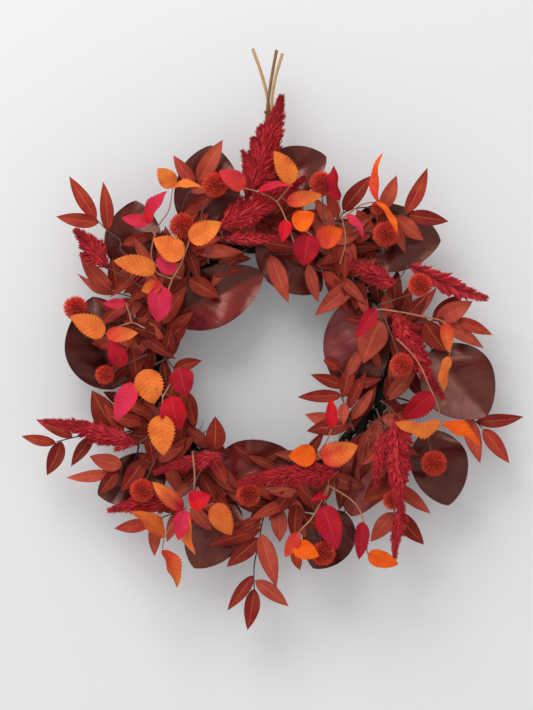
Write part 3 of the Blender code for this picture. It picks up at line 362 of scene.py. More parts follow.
CORE_OUTLINE = ((0, 0.2, 0.6, 1), (0.5, 1.0, 0.8, 0.12))
CORE_STEPS, CORE_SIDES = 30, 10
FLORET = ((0.1, 0.7), (0.45, 1.0), (0.82, 0.6))  # rings as (share of length, share of width)
HAIR = ((0.2, 1.0),)
OPEN_PLUMES = ((166, 111),)  # bases of the plumes whose florets stand apart

# A ball head is (x, z, radius, how far forward it stands).
BALL_RADIUS = 15.0  # of the head that has WreathSizes' number of bristles
BALL_CORE = 0.62  # radius of the ball under the bristles, as a share of the head's
BRISTLE = ((0.05, 1.0), (0.6, 0.75), (0.9, 0.4))
BALL_PICKS = (
    ("top_left", 42, (((-74, 115), (-76, 146), (-82, 172), (-70, 196)), ((-76, 146), (-96, 154))),
     ((-66, 207, 16, 4), (-105, 158, 16, 4))),
    ("top_right", 42,
     (((62, 129), (64, 165), (62, 196)), ((64, 165), (100, 156), (126, 152), (128, 170))),
     ((62, 208, 16, 0), (138, 148, 16, 4), (129, 180, 9, 4))),
    ("right", 48, (((131, 64), (150, 70), (172, 78)), ((131, 64), (140, 40), (152, 8))),
     ((178, 87, 15, 14), (157, -8, 15, 4))),
    ("lower_right", 34,
     (((120, -76), (146, -84), (176, -86), (188, -94), (193, -112)),
      ((146, -84), (140, -120), (146, -155))),
     ((196, -126, 16, 4), (147, -170, 13, 6))),
    ("bottom", 34, (((38, -137), (20, -152), (-12, -161)), ((38, -137), (50, -170), (60, -216))),
     ((-26, -164, 15, 2), (64, -234, 15, 2))),
    ("lower_left", 36, (((-120, -76), (-134, -112), (-148, -146)),),
     ((-153, -158, 15, 14), (-113, -68, 14, 2))),
    ("left", 34, (((-148, 4), (-170, -6), (-186, -15)), ((-170, -6), (-205, 28), (-225, 52))),
     ((-233, 60, 15, 2), (-198, -20, 12, 2))),
)

WARM_GLOSS = (1.0, 0.5, 0.4, 1.0)

MOSS_TUFTS = 1500
MOSS_TUFT = ((0.02, 1.0), (0.35, 0.9), (0.7, 0.6))
# Moss shows most where it is thick: (middle x, z, spread, tufts).
MOSS_PATCHES = ((-40, 160, 16, 90), (-78, -98, 14, 110), (-120, 20, 14, 60), (96, -60, 12, 50))
# Curling twigs: (root x, z, way x, z, reach, curl).
TWIG_STEPS, TWIG_SIDES = 40, 5
TWIGS = (
    (-95, -92, 0.7, 0.6, 24, 3.2), (-99, -84, 0.4, 0.9, 20, 2.6), (-88, -104, 0.9, 0.3, 22, 3.6),
    (-84, -108, 0.8, 0.8, 20, 2.4), (-126, 30, 0.9, 0.2, 14, 2.4), (-40, 148, 0.3, 0.9, 20, 2.8),
    (-24, 152, -0.2, 1.0, 18, 2.2), (104, -70, -0.8, 0.4, 16, 2.4),
)

PAPER_WRAP = 5.5  # length of stem that one turn of its paper covers
TIE_LOOPS = 3
# Stage, in metres. Heights count from the ring's centre, but the wall's top is its own height.
FLOOR_DROP = 1.3
STAGE_REACH = 4.0
WALL_TOP = 3.0
FLOOR_FRONT = -6.0
LAMP_PLACE = (-0.9, -2.1, 2.2)
LAMP_SIZE = 2.0
VIEW_PLANE = 30  # millimetres forward of the vines' front, where the view height is measured
CAMERA_ASIDE, CAMERA_RISE = -0.0042, 0.0036


def paint(red, green, blue):
    """Linear colour of a paint that is given in display steps from 0 to 255."""
    steps = np.array((red, green, blue)) / 255
    return tuple(np.where(steps <= 0.04045, steps / 12.92, ((steps + 0.055) / 1.055) ** 2.4))


def paint_property(name, description, red, green, blue):
    return FloatVectorProperty(
        name=name, description=description, subtype="COLOR", size=3, min=0.0, max=1.0,
        default=paint(red, green, blue),
    )


def size_property(name, description, default):
    return FloatProperty(
        name=name, description=description, default=default * MM, min=0.0, precision=5,
        subtype="DISTANCE", unit="LENGTH",
    )


class WreathSizes(bpy.types.PropertyGroup):
    leaf_thickness: size_property("Leaf thickness", "Thickness of a blade at its midrib", 0.9)
    bristle_width: size_property("Bristle width", "Half width of a ball head's bristle", 0.6)
    floret_width: size_property("Floret width", "Half width of a plume's floret", 1.5)
    wall_gap: size_property("Wall gap", "From the back of the wreath to the wall", 8.0)
    bristles: IntProperty(
        name="Bristles", description="Bristles on a ball head", default=760, min=50,
    )
    florets: IntProperty(
        name="Florets", description="Florets on a plume 100 mm long and 20 mm wide",
        default=420, min=20,
    )


class WreathColours(bpy.types.PropertyGroup):
    wine: paint_property("Wine", "Darkest magnolia leaves", 68, 16, 14)
    plum: paint_property("Plum", "Lighter magnolia leaves", 88, 28, 24)
    # Painted sheen: a paler rose colour laid on one half of some magnolia leaves, where their satin
    # would catch the light.
    rosewood: paint_property("Rosewood", "Satin halves of magnolia leaves", 138, 58, 60)
    wine_red: paint_property("Wine red", "Redder halves of magnolia leaves", 126, 22, 26)
    mauve: paint_property("Mauve", "Faded magnolia leaf", 140, 88, 82)
    suede: paint_property("Suede", "Undersides of the magnolia leaves", 88, 40, 32)
    rust: paint_property("Rust", "Willow leaves", 176, 58, 42)
    rose_rust: paint_property("Rose rust", "Paler willow leaves", 194, 78, 60)
    dark_rust: paint_property("Dark rust", "Darker willow leaves", 138, 36, 28)
    rib: paint_property("Rib", "Midribs of the willow leaves", 226, 140, 84)
    orange: paint_property("Orange", "Beech leaves", 240, 124, 54)
    bright_orange: paint_property("Bright orange", "Brightest beech leaves", 246, 96, 20)
    tan_orange: paint_property("Tan orange", "Faded beech leaves", 206, 96, 42)
    coral: paint_property("Coral", "Beech leaves between red and orange", 226, 66, 50)
    pink: paint_property("Pink", "Pink beech leaves", 220, 46, 78)
    red: paint_property("Red", "Bright red beech leaves", 214, 20, 40)
    crimson: paint_property("Crimson", "Dark red beech leaves", 178, 20, 44)
    plume: paint_property("Plume", "Celosia florets", 176, 28, 40)
    plume_light: paint_property("Plume light", "Sunlit celosia florets", 218, 62, 68)
    plume_tip: paint_property("Plume tip", "Dry tips of the celosia florets", 120, 22, 34)
    ball: paint_property("Ball", "Ball heads between the bristles", 178, 38, 30)
    ball_tip: paint_property("Ball tip", "Tips of the bristles", 238, 84, 60)
    stem: paint_property("Stem", "Wrapped stems", 112, 70, 58)
    stem_tan: paint_property("Tan stem", "Stems of the beech leaves", 178, 124, 92)
    stem_dark: paint_property("Dark stem", "Wired stems of some willow sprays", 42, 26, 26)
    bark: paint_property("Bark", "Vines", 50, 42, 34)
    moss: paint_property("Moss", "Moss on the vines", 30, 36, 24)
    paper: paint_property("Paper", "Left and right hanger stems", 198, 160, 112)
    paper_dark: paint_property("Dark paper", "Middle hanger stem", 142, 104, 60)
    wire: paint_property("Wire", "Hoop, ties and hanging loop", 70, 66, 64)
    wall: paint_property("Wall", "Wall and floor", 244, 244, 245)


class WreathLight(bpy.types.PropertyGroup):
    key: FloatProperty(
        name="Key", description="Power of the soft light", default=46.0, unit="POWER",
    )
    fill: FloatProperty(name="Fill", description="Strength of the light all round", default=0.58)
    distance: FloatProperty(
        name="Distance", description="From the camera to the wreath", default=3.6, unit="LENGTH",
        subtype="DISTANCE",
    )
    view_height: FloatProperty(
        name="View height", description="Height that the camera takes in at the wreath",
        default=0.852, unit="LENGTH", subtype="DISTANCE",
    )


class Wreath(bpy.types.PropertyGroup):
    sizes: PointerProperty(type=WreathSizes)
    colours: PointerProperty(type=WreathColours)
    light: PointerProperty(type=WreathLight)

    def tint(self, name):
        """Colour of a named tint, as an array."""
        return np.array(getattr(self.colours, name))


# Skins ---------------------------------------------------------------------------------------


def unit(ways):
    """Vectors of length one."""
    return ways / np.maximum(np.linalg.norm(ways, axis=-1, keepdims=True), 1e-9)


def place(x, z, depth):
    """A place of the arrangement, with its depth forward of the vines' front."""
    return np.array((x, z, depth), float) * LAYOUT_SCALE + (0, 0, RING_FRONT)


def smooth(route, steps):
    """Points along a Catmull-Rom curve through a route."""
    route = np.asarray(route, float)
    ends = np.vstack((route[:1], route, route[-1:]))
    t = (np.arange(steps) / steps)[:, None]
    path = []
    for a, b, c, d in zip(ends, ends[1:], ends[2:], ends[3:]):
        square = (2 * a - 5 * b + 4 * c - d) * t**2
        cube = (3 * b - a - 3 * c + d) * t**3
        path.append((2 * b + (c - a) * t + square + cube) / 2)
    return np.vstack((*path, route[-1:]))


class Skins:
    """Gathers the closed skins of one piece, then makes its mesh. Each point has a tone, and a
    grain: how far along its skin it is, how far across, and its skin's own number."""

    def __init__(self):
        self.points, self.tones, self.grains = [], [], []
        self.faces, self.finishes = [], []
        self.count = 0

    def add(self, points, faces, finish, tone, grain):
        self.points.append(points)
        self.tones.append(np.broadcast_to(tone, points.shape))
        self.grains.append(np.broadcast_to(grain, points.shape))
        for group in faces:
            group = np.asarray(group)
            self.faces.append(group + self.count)
            self.finishes.append(np.full(len(group), finish))
        self.count += len(points)

    def mesh(self, name):
        points = np.vstack(self.points) * MM
        world = np.column_stack((points[:, 0], -points[:, 2], points[:, 1] + RING_HEIGHT))
        sizes = np.concatenate([np.full(len(group), group.shape[1]) for group in self.faces])
        corners = np.concatenate([group.ravel() for group in self.faces])
        mesh = bpy.data.meshes.new(name)
        mesh.vertices.add(len(world))
        mesh.vertices.foreach_set("co", world.astype(np.float32).ravel())
        mesh.loops.add(len(corners))
        mesh.loops.foreach_set("vertex_index", corners.astype(np.int32))
        mesh.polygons.add(len(sizes))
        starts = np.concatenate(((0,), np.cumsum(sizes)[:-1]))
        mesh.polygons.foreach_set("loop_start", starts.astype(np.int32))
        mesh.polygons.foreach_set("material_index", np.concatenate(self.finishes).astype(np.int32))
        mesh.update(calc_edges=True)
        tone = mesh.attributes.new("tone", "FLOAT_COLOR", "POINT")
        opaque = np.ones((len(world), 1))
        rgba = np.hstack((np.clip(np.vstack(self.tones), 0, 1), opaque))
        tone.data.foreach_set("color", rgba.astype(np.float32).ravel())
        grain = mesh.attributes.new("grain", "FLOAT_VECTOR", "POINT")
        grain.data.foreach_set("vector", np.vstack(self.grains).astype(np.float32).ravel())
        mesh.shade_smooth()
        mesh.set_sharp_from_angle(angle=SHARP_ANGLE)
        return mesh


def make_piece(name, skins, finishes, nodes=(), body="wreath"):
    """Puts a piece in the scene, on its body and in place of its CAD nodes."""
    mesh = skins.mesh(name)
    for finish in finishes:
        mesh.materials.append(finish)
    piece = bpy.data.objects.new(name, mesh)
    bpy.context.collection.objects.link(piece)
    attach(piece, body)
    if nodes:
        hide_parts(*nodes)


def tube(skins, path, radii, sides, finish, tone, relief=1.0, closed=False, number=0.0):
    """A round skin along a path, with relief for its ridges and knots."""
    path = np.asarray(path, float)
    count = len(path)
    if closed:
        ways = unit(np.roll(path, -1, 0) - np.roll(path, 1, 0))
    else:
        ways = unit(np.gradient(path, axis=0))
    aside = FORWARD if abs(ways[0] @ FORWARD) < 0.9 else np.array((1.0, 0.0, 0.0))
    sideways = []
    for way in ways:
        aside = unit(aside - way * (aside @ way))
        sideways.append(aside)
    sideways = np.array(sideways)[:, None]
    upright = np.cross(ways, sideways[:, 0])[:, None]
    turn = (2 * math.pi * np.arange(sides) / sides)[None, :, None]
    girth = np.broadcast_to(radii, count)[:, None] * relief
    girth = np.broadcast_to(girth, (count, sides))[..., None]
    rings = path[:, None] + girth * (np.cos(turn) * sideways + np.sin(turn) * upright)
    steps = np.linalg.norm(np.diff(path, axis=0), axis=1)
    along = np.concatenate(((0.0,), np.cumsum(steps)))[:, None]
    grain = np.stack(np.broadcast_arrays(along, np.arange(sides)[None] / sides, number), -1)
    index = np.arange(count * sides).reshape(count, sides)
    following = np.roll(index, -1, 0) if closed else index[1:]
    start = index if closed else index[:-1]
    quads = (start, np.roll(start, -1, 1), np.roll(following, -1, 1), following)
    faces = [np.stack(quads, -1).reshape(-1, 4)]
    if not closed:
        faces += [index[:1, ::-1], index[-1:]]
    skins.add(rings.reshape(-1, 3), faces, finish, tone, grain.reshape(-1, 3))


def spikes(skins, roots, ways, lengths, widths, profile, sides, finish, tones, bends=0.0):
    """A closed tapering body from each root. The profile gives its rings as (share of its
    length, share of its width), and a bend moves its tip aside."""
    roots, ways = np.asarray(roots, float), unit(np.asarray(ways, float))
    count = len(roots)
    aside = unit(np.cross(ways, FORWARD + 0.01))
    upright = np.cross(ways, aside)
    shares = np.array([0.0, *(share for share, wide in profile), 1.0])
    lengths = np.broadcast_to(lengths, count)
    widths = np.broadcast_to(widths, count)
    bends = np.broadcast_to(bends, (count, 3))
    reach = lengths[:, None, None] * shares[None, :, None]
    spine = roots[:, None] + ways[:, None] * reach + bends[:, None] * shares[None, :, None] ** 2
    turn = (2 * math.pi * np.arange(sides) / sides)[None, :, None]
    circle = np.cos(turn) * aside[:, None] + np.sin(turn) * upright[:, None]
    wide = np.array([wide for share, wide in profile])
    girth = widths[:, None, None, None] * wide[None, :, None, None]
    rings = spine[:, 1:-1, None] + girth * circle[:, None]
    points = np.concatenate((spine[:, :1], rings.reshape(count, -1, 3), spine[:, -1:]), 1)
    each = points.shape[1]
    ring = 1 + np.arange(len(profile) * sides).reshape(len(profile), sides)
    around = np.roll(ring, -1, 1)
    quads = np.stack((ring[:-1], around[:-1], around[1:], ring[1:]), -1).reshape(-1, 4)
    foot = np.stack((np.zeros(sides, int), around[0], ring[0]), -1)
    tip = np.stack((ring[-1], around[-1], np.full(sides, each - 1)), -1)
    first = (np.arange(count) * each)[:, None, None]
    faces = [(first + foot).reshape(-1, 3), (first + tip).reshape(-1, 3)]
    if len(profile) > 1:
        faces.append((first + quads).reshape(-1, 4))
    along = np.concatenate(((0.0,), np.repeat(shares[1:-1], sides), (1.0,)))
    numbers = (np.arange(count) * 0.618034 % 1.0)[:, None]
    grain = np.stack(np.broadcast_arrays(along[None], 0.0, numbers), -1).reshape(-1, 3)
    tone = np.repeat(np.broadcast_to(tones, (count, 3)), each, 0)
    skins.add(points.reshape(-1, 3), faces, finish, tone, grain)


# Finishes ------------------------------------------------------------------------------------


class Finish:
    """Short calls that build one material's nodes."""

    def __init__(self, name, fixed):
        self.material = bpy.data.materials.new(name)
        self.material.use_nodes = True
        self.tree = self.material.node_tree
        self.shader = self.tree.nodes["Principled BSDF"]
        for socket, value in fixed.items():
            self.shader.inputs[socket].default_value = value

    def feed(self, socket, value):
        if isinstance(value, bpy.types.NodeSocket):
            self.tree.links.new(value, socket)
        else:
            socket.default_value = value

    def node(self, kind, inputs, output=0, **settings):
        made = self.tree.nodes.new(kind)
        for name, value in settings.items():
            setattr(made, name, value)
        for socket, value in inputs.items():
            self.feed(made.inputs[socket], value)
        return made.outputs[output]

    def math(self, operation, a, b=0.0, clamp=False):
        return self.node("ShaderNodeMath", {0: a, 1: b}, operation=operation, use_clamp=clamp)

    def attribute(self, name, output):
        return self.node("ShaderNodeAttribute", {}, output, attribute_name=name)

    def grain(self):
        """How far along, how far across, and the skin's number."""
        parts = self.tree.nodes.new("ShaderNodeSeparateXYZ")
        self.feed(parts.inputs[0], self.attribute("grain", "Vector"))
        return parts.outputs

    def noise(self, scale, detail=4.0, roughness=0.55):
        where = self.node("ShaderNodeTexCoord", {}, "Object")
        inputs = {"Vector": where, "Scale": scale, "Detail": detail, "Roughness": roughness}
        return self.node("ShaderNodeTexNoise", inputs)

    def spread(self, value, low, high, start=0.3, end=0.7):
        """Maps a value between start and end to a range."""
        return self.node("ShaderNodeMapRange", {0: value, 1: start, 2: end, 3: low, 4: high})

    def blend(self, share, a, b):
        inputs = {0: share, 6: a, 7: b}
        return self.node("ShaderNodeMix", inputs, 2, data_type="RGBA")

    def toned(self, colour, value, hue=0.5, saturation=1.0):
        inputs = {0: hue, 1: saturation, 2: value, 4: colour}
        return self.node("ShaderNodeHueSaturation", inputs)

    def finish(self, colour, roughness, height, bump, distance=0.4):
        """Feeds the shader with a colour, a roughness and a bump of a depth in millimetres."""
        inputs = {"Strength": bump, "Distance": distance * MM, "Height": height}
        normal = self.node("ShaderNodeBump", inputs)
        self.feed(self.shader.inputs["Base Color"], colour)
        self.feed(self.shader.inputs["Roughness"], roughness)
        self.feed(self.shader.inputs["Normal"], normal)
        return self.material


def rgba(colour):
    return (*colour, 1.0)


def leaf_finish(name, kind, fixed, rib_colour, rib, vein, edge, rough, mottle):
    """A leaf's upper or lower side: mottled, with its veins, midrib and darker rim."""
    leaf = LEAVES[kind]
    made = Finish(name, fixed)
    along, across, _ = made.grain()
    aside = made.math("ABSOLUTE", across)
    if leaf["veins"]:
        slanted = made.math("MULTIPLY", aside, leaf["slant"])
        course = made.math("MULTIPLY", made.math("SUBTRACT", along, slanted), leaf["veins"])
    else:
        course = made.math("MULTIPLY", aside, leaf["lines"] + 1.5)
    wave = made.math("ABSOLUTE", made.math("SINE", made.math("MULTIPLY", course, math.pi)))
    line = made.math("SUBTRACT", 1.0, made.math("MULTIPLY", wave, 3.5), clamp=True)
    ribbed = made.math("SUBTRACT", 1.0, made.math("MULTIPLY", aside, 13.0), clamp=True)
    rim = made.spread(aside, 0.0, 1.0, 0.82, 1.0)
    patches = made.noise(55.0, 3.0)
    flecks = made.noise(620.0, 4.0, 0.65)
    value = made.spread(patches, 1.0 - mottle, 1.0 + mottle)
    value = made.math("MULTIPLY", value, made.spread(flecks, 0.92, 1.08))
    darker = made.math("MULTIPLY", line, vein)
    darker = made.math("ADD", darker, made.math("MULTIPLY", rim, edge))
    value = made.math("MULTIPLY", value, made.math("SUBTRACT", 1.0, darker))
    hue = made.spread(patches, 0.494, 0.506)
    colour = made.toned(made.attribute("tone", "Color"), value, hue)
    colour = made.blend(made.math("MULTIPLY", ribbed, rib), colour, rgba(rib_colour))
    roughness = made.spread(made.noise(140.0), *rough)
    height = made.math("MULTIPLY", line, -0.7)
    height = made.math("ADD", height, made.math("MULTIPLY", flecks, 0.5))
    height = made.math("ADD", height, made.math("MULTIPLY", ribbed, 0.8))
    return made.finish(colour, roughness, height, 0.5)


def toned_finish(name, fixed, coarse, fine, mottle, rough, bump, depth=0.4):
    """A matt finish in the skin's own tone, with coarse patches and a fine grain."""
    made = Finish(name, fixed)
    patches = made.noise(coarse)
    grains = made.noise(fine, 5.0, 0.7)
    value = made.math(
        "MULTIPLY", made.spread(patches, 1 - mottle, 1 + mottle), made.spread(grains, 0.85, 1.15)
    )
    colour = made.toned(made.attribute("tone", "Color"), value, made.spread(patches, 0.49, 0.51))
    return made.finish(colour, made.spread(grains, *rough), grains, bump, depth)


def tipped_finish(name, fixed, root_colour, start, end, rough):
    """A soft finish that runs from one colour at a floret's root to its own tone at its tip."""
    made = Finish(name, fixed)
    along, _, number = made.grain()
    fuzz = made.noise(900.0, 4.0, 0.7)
    patches = made.noise(70.0)
    share = made.math("ADD", along, made.spread(fuzz, -0.12, 0.12))
    share = made.spread(share, 0.0, 1.0, start, end)
    colour = made.blend(share, root_colour, made.attribute("tone", "Color"))
    own = made.spread(number, 0.85, 1.15, 0, 1)
    value = made.math("MULTIPLY", made.spread(patches, 0.85, 1.15), own)
    colour = made.toned(colour, value)
    return made.finish(colour, made.spread(fuzz, *rough), fuzz, 0.4, 0.3)


def bark_finish(bark, moss):
    """Rough bark, darker in the hollows of its relief, and green with moss in patches."""
    made = Finish("vine_bark_mossy", {"Specular IOR Level": 0.25})
    ridges = made.noise(240.0, 6.0, 0.7)
    patches = made.noise(40.0, 4.0)
    colour = made.blend(made.spread(patches, 0.0, 1.0, 0.42, 0.58), rgba(bark), rgba(moss))
    colour = made.toned(colour, made.spread(ridges, 0.5, 1.5))
    return made.finish(colour, made.spread(ridges, 0.75, 0.98), ridges, 0.8, 1.2)


def wire_finish(wire):
    """Dull annealed wire with drawn scratches."""
    made = Finish("annealed_wire", {"Metallic": 0.9})
    scratches = made.noise(1400.0, 3.0, 0.6)
    patches = made.noise(120.0)
    colour = made.toned(rgba(wire), made.spread(patches, 0.7, 1.25))
    return made.finish(colour, made.spread(scratches, 0.35, 0.62), scratches, 0.25, 0.1)


# Ring ----------------------------------------------------------------------------------------


def make_ring_wires(wreath):
    """The hoop, and the wire ties that hold the vines to it."""
    tone = wreath.tint("wire")
    finish = wire_finish(tone)
    skins = Skins()
    turn = 2 * math.pi * np.arange(HOOP_STEPS) / HOOP_STEPS
    hoop = np.column_stack((np.cos(turn), np.sin(turn), np.zeros(HOOP_STEPS))) * RING_RADIUS
    tube(skins, hoop, HOOP_WIRE / 2, HOOP_SIDES, 0, tone, closed=True)
    make_piece("hoop_wire", skins, [finish], ["frame_hoop"])
    grown = CLEARANCE + BINDING_WIRE / 2
    round_vines, round_hoop = BUNDLE_RADIUS + grown, HOOP_WIRE / 2 + grown
    steps = TIE_STEPS * TIE_TURNS
    for number, degrees in enumerate(BINDING_ANGLES):
        angle = math.radians(degrees)
        path = []
        for i in range(steps + 1):
            turn = 2 * math.pi * TIE_TURNS * i / steps - math.pi / 2
            on_vines = BUNDLE_DEPTH * math.sin(turn) + round_vines > round_hoop
            size, middle = (round_vines, BUNDLE_DEPTH) if on_vines else (round_hoop, 0.0)
            radius = RING_RADIUS + size * math.cos(turn)
            beside = BINDING_WIRE * (i / steps - 0.5) * TIE_TURNS
            x = radius * math.cos(angle) - beside * math.sin(angle)
            z = radius * math.sin(angle) + beside * math.cos(angle)
            path.append((x, z, middle + size * math.sin(turn)))
        skins = Skins()
        tube(skins, path, BINDING_WIRE / 2, TIE_SIDES, 0, tone)
        name = f"binding_wire_{number + 1}"
        make_piece(f"tie_{number + 1}", skins, [finish], [name])


def strand_path(number, count):
    """Centreline of one vine, from one cut end round to the other."""
    gap = STRAND_END_GAP / RING_RADIUS
    seam = math.radians(STRAND_SEAM + 120 * number)
    angle = seam + gap / 2 + (2 * math.pi - gap) * np.arange(count) / (count - 1)
    phase = STRAND_TURNS * (angle - math.pi / 2) + 2 * math.pi * number / 3 - math.pi / 2
    radius = RING_RADIUS + STRAND_LAY * np.cos(phase)
    depth = BUNDLE_DEPTH + STRAND_LAY * np.sin(phase)
    return np.column_stack((radius * np.cos(angle), radius * np.sin(angle), depth))


def make_vines(wreath):
    """Three twisted vines with ridged bark and knots."""
    finish = bark_finish(wreath.tint("bark"), wreath.tint("moss"))
    share = np.linspace(0, 1, VINE_STEPS)[:, None]
    around = np.arange(VINE_SIDES)[None] / VINE_SIDES
    for number in range(3):
        draw = np.random.default_rng(SEEDS["vines"] + number)
        relief = 0.95 + 0.05 * np.sin(2 * math.pi * (5 * around + 9 * share))
        relief = relief + 0.035 * np.sin(2 * math.pi * (3 * around - 23 * share + 0.3))
        relief = relief + draw.uniform(-0.05, 0.03, (VINE_STEPS, VINE_SIDES))
        for knot in draw.uniform(0.03, 0.97, VINE_KNOTS):
            near = np.exp(-(((share - knot) * 220) ** 2) - ((around - draw.random()) * 4) ** 2)
            relief = relief + 0.22 * near
        skins = Skins()
        path = strand_path(number, VINE_STEPS)
        tone = wreath.tint("bark")
        tube(skins, path, STRAND_RADIUS, VINE_SIDES, 0, tone, relief, number=number)
        name = f"vine_strand_{number + 1}"
        make_piece(f"bark_vine_{number + 1}", skins, [finish], [name])


def make_moss(wreath):
    """Dark moss all along the vines, thicker in patches, and thin curling twigs."""
    draw = np.random.default_rng(SEEDS["moss"])
    fixed = {"Specular IOR Level": 0.2}
    finish = toned_finish("moss_dry", fixed, 90.0, 1200.0, 0.35, (0.8, 1.0), 0.4)
    angle = draw.uniform(0, 2 * math.pi, MOSS_TUFTS)
    section = draw.uniform(-0.3, math.pi + 0.3, MOSS_TUFTS)
    radial = np.column_stack((np.cos(angle), np.sin(angle), np.zeros(MOSS_TUFTS)))
    out = radial * np.cos(section)[:, None] + FORWARD * np.sin(section)[:, None]
    middle = radial * RING_RADIUS + FORWARD * BUNDLE_DEPTH
    roots = middle + out * (BUNDLE_RADIUS - 3.5)
    lengths = draw.uniform(3.5, 6.5, MOSS_TUFTS)
    for x, z, spread, tufts in MOSS_PATCHES:
        heart = np.array((x, z))
        near = heart + draw.normal(0, spread / 2, (tufts, 2))
        ring = unit(near) * RING_RADIUS
        pull = np.clip(near - ring, -BUNDLE_RADIUS * 0.7, BUNDLE_RADIUS * 0.7)
        base = ring + pull
        patch = np.column_stack((base, draw.uniform(BUNDLE_DEPTH, RING_FRONT - 2, tufts)))
        away = np.column_stack((near - base, draw.uniform(0, 6, tufts)))
        roots = np.vstack((roots, patch))
        out = np.vstack((out, away + draw.normal(0, 3, (tufts, 3))))
        lengths = np.concatenate((lengths, draw.uniform(6, 12, tufts)))
    ways = unit(out) + draw.normal(0, 0.4, out.shape)
    bends = draw.normal(0, 3.2, out.shape)
    tones = wreath.tint("moss") * draw.uniform(0.5, 1.5, (len(roots), 1))
    widths = draw.uniform(0.3, 0.55, len(roots))
    skins = Skins()
    spikes(skins, roots, ways, lengths, widths, MOSS_TUFT, 3, 0, tones, bends)
    for x, z, way_x, way_z, reach, curl in TWIGS:
        share = np.linspace(0, 1, TWIG_STEPS)[:, None]
        way = unit(np.array((way_x, way_z, 0.2)))
        aside = np.cross(way, FORWARD)
        turn = 2 * math.pi * (1.6 * share + draw.random())
        loops = curl * share * (np.cos(turn) * aside + np.sin(turn) * (FORWARD + way * 0.6))
        path = np.array((x, z, RING_FRONT - 5)) + way * reach * share + loops
        radii = 0.5 * (1 - 0.6 * share[:, 0])
        tube(skins, path, radii, TWIG_SIDES, 0, wreath.tint("moss") * 0.7)
    make_piece("moss_and_twigs", skins, [finish])


# Hanging loop and hanger stems -----------------------------------------------------------------


def make_hanging_loop(wreath):
    """Wire bail whose eyes turn on the hoop."""
    half = LOOP_WIDTH / 2
    axis = math.sqrt(RING_RADIUS**2 - half**2)
    arch = RING_RADIUS + LOOP_HEIGHT + LOOP_WIRE / 2 - half
    radius = HOOP_WIRE / 2 + EYE_CLEARANCE + LOOP_WIRE / 2
    turn = np.radians(np.arange(EYE_START, EYE_END - 1, -EYE_STEP))
    height = axis - radius * np.cos(turn)
    eye = np.column_stack((np.zeros(len(turn)), height, radius * np.sin(turn)))
    over = np.linspace(math.pi, 0, ARCH_POINTS)
    bow = np.column_stack((half * np.cos(over), arch + half * np.sin(over), np.zeros(ARCH_POINTS)))
    leg = [(-half, axis + LEG_START, 0.0)]
    other = [(half, axis + LEG_START, 0.0)]
    path = np.vstack((eye + (-half, 0, 0), leg, bow, other, eye[::-1] + (half, 0, 0)))
    skins = Skins()
    tone = wreath.tint("wire")
    tube(skins, path, LOOP_WIRE / 2, BAIL_SIDES, 0, tone)
    finish = wire_finish(tone)
    make_piece("hanging_bail", skins, [finish], ["hanging_loop"], "loop")


def make_hanger_stems(wreath):
    """Three paper-wrapped stems that cross at a small tie and fan out above the wreath."""
    near = RING_FRONT + CLEARANCE + HANGER_DIAMETER / 2
    far = near + HANGER_DIAMETER + CLEARANCE
    between = (near + far) / 2
    grow = RING_RADIUS - LAYOUT_RADIUS
    waist = HANGER_TIE_HEIGHT
    free = {
        "left": ((-3, 230, near), (-1, waist, near), (-8, 336, near), (-21, 374, near)),
        "middle": ((-9, 230, between), (-3.6, waist, far), (1, 333, far), (8, 372, far)),
        "right": ((3, 230, between), (1.8, waist, far), (5.5, 333, far), (15, 368, far)),
    }
    fixed = {"Sheen Weight": 0.15, "Specular IOR Level": 0.3}
    finish = toned_finish("wrapped_paper", fixed, 60.0, 800.0, 0.14, (0.62, 0.9), 0.5)
    for side, places in free.items():
        node = f"hanger_stem_{side}"
        lying = -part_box(node)[1].y / MM + HANGER_DIAMETER / 2
        foot = places[0][0]
        rest = [(foot, RING_RADIUS + BUNDLE_RADIUS * i, lying) for i in range(3)]
        route = rest + [(x, z + grow, depth) for x, z, depth in places]
        path = smooth(route, PAPER_STEPS)
        steps = np.linalg.norm(np.diff(path, axis=0), axis=1)
        along = np.concatenate(((0.0,), np.cumsum(steps)))[:, None]
        wrap = (along / PAPER_WRAP + np.arange(PAPER_SIDES)[None] / PAPER_SIDES) % 1.0
        relief = 0.94 + 0.09 * wrap
        taper = 1.02 + 0.12 * np.linspace(0, 1, len(path)) ** 3
        tone = wreath.tint("paper_dark" if side == "middle" else "paper")
        skins = Skins()
        tube(skins, path, HANGER_DIAMETER / 2 * taper, PAPER_SIDES, 0, tone, relief)
        make_piece(f"paper_stem_{side}", skins, [finish], [node])
    low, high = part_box("hanger_tie")
    middle = (low + high) / 2
    half_x = (high.x - low.x) / 2 / MM - HANGER_TIE_WIRE / 2
    half_depth = (high.y - low.y) / 2 / MM - HANGER_TIE_WIRE / 2
    turn = np.linspace(0, 2 * TIE_LOOPS * math.pi, 110)[:, None]
    rise = HANGER_TIE_WIRE * (turn / (2 * math.pi) - TIE_LOOPS / 2)
    centre = np.array((middle.x / MM, (middle.z - RING_HEIGHT) / MM, -middle.y / MM))
    path = centre + np.hstack((half_x * np.cos(turn), rise, half_depth * np.sin(turn)))
    skins = Skins()
    tone = wreath.tint("paper_dark")
    tube(skins, path, HANGER_TIE_WIRE / 2, TIE_SIDES, 0, tone)
    make_piece("stem_tie", skins, [wire_finish(tone)], ["hanger_tie"])


# Picks ---------------------------------------------------------------------------------------


def nearest_on(paths, where):
    """The point of some stems' centrelines that is nearest to a place in plan."""
    best = None
    for path in paths:
        for a, b in zip(path[1:], path[2:]):
            span = (b - a)[:2]
            size = span @ span
            if size < 1e-4:
                continue
            share = min(1.0, max(0.0, (where - a[:2]) @ span / size))
            found = a + (b - a) * share
            distance = np.linalg.norm(found[:2] - where)
            if best is None or distance < best[0]:
                best = (distance, found)
    return best[1]


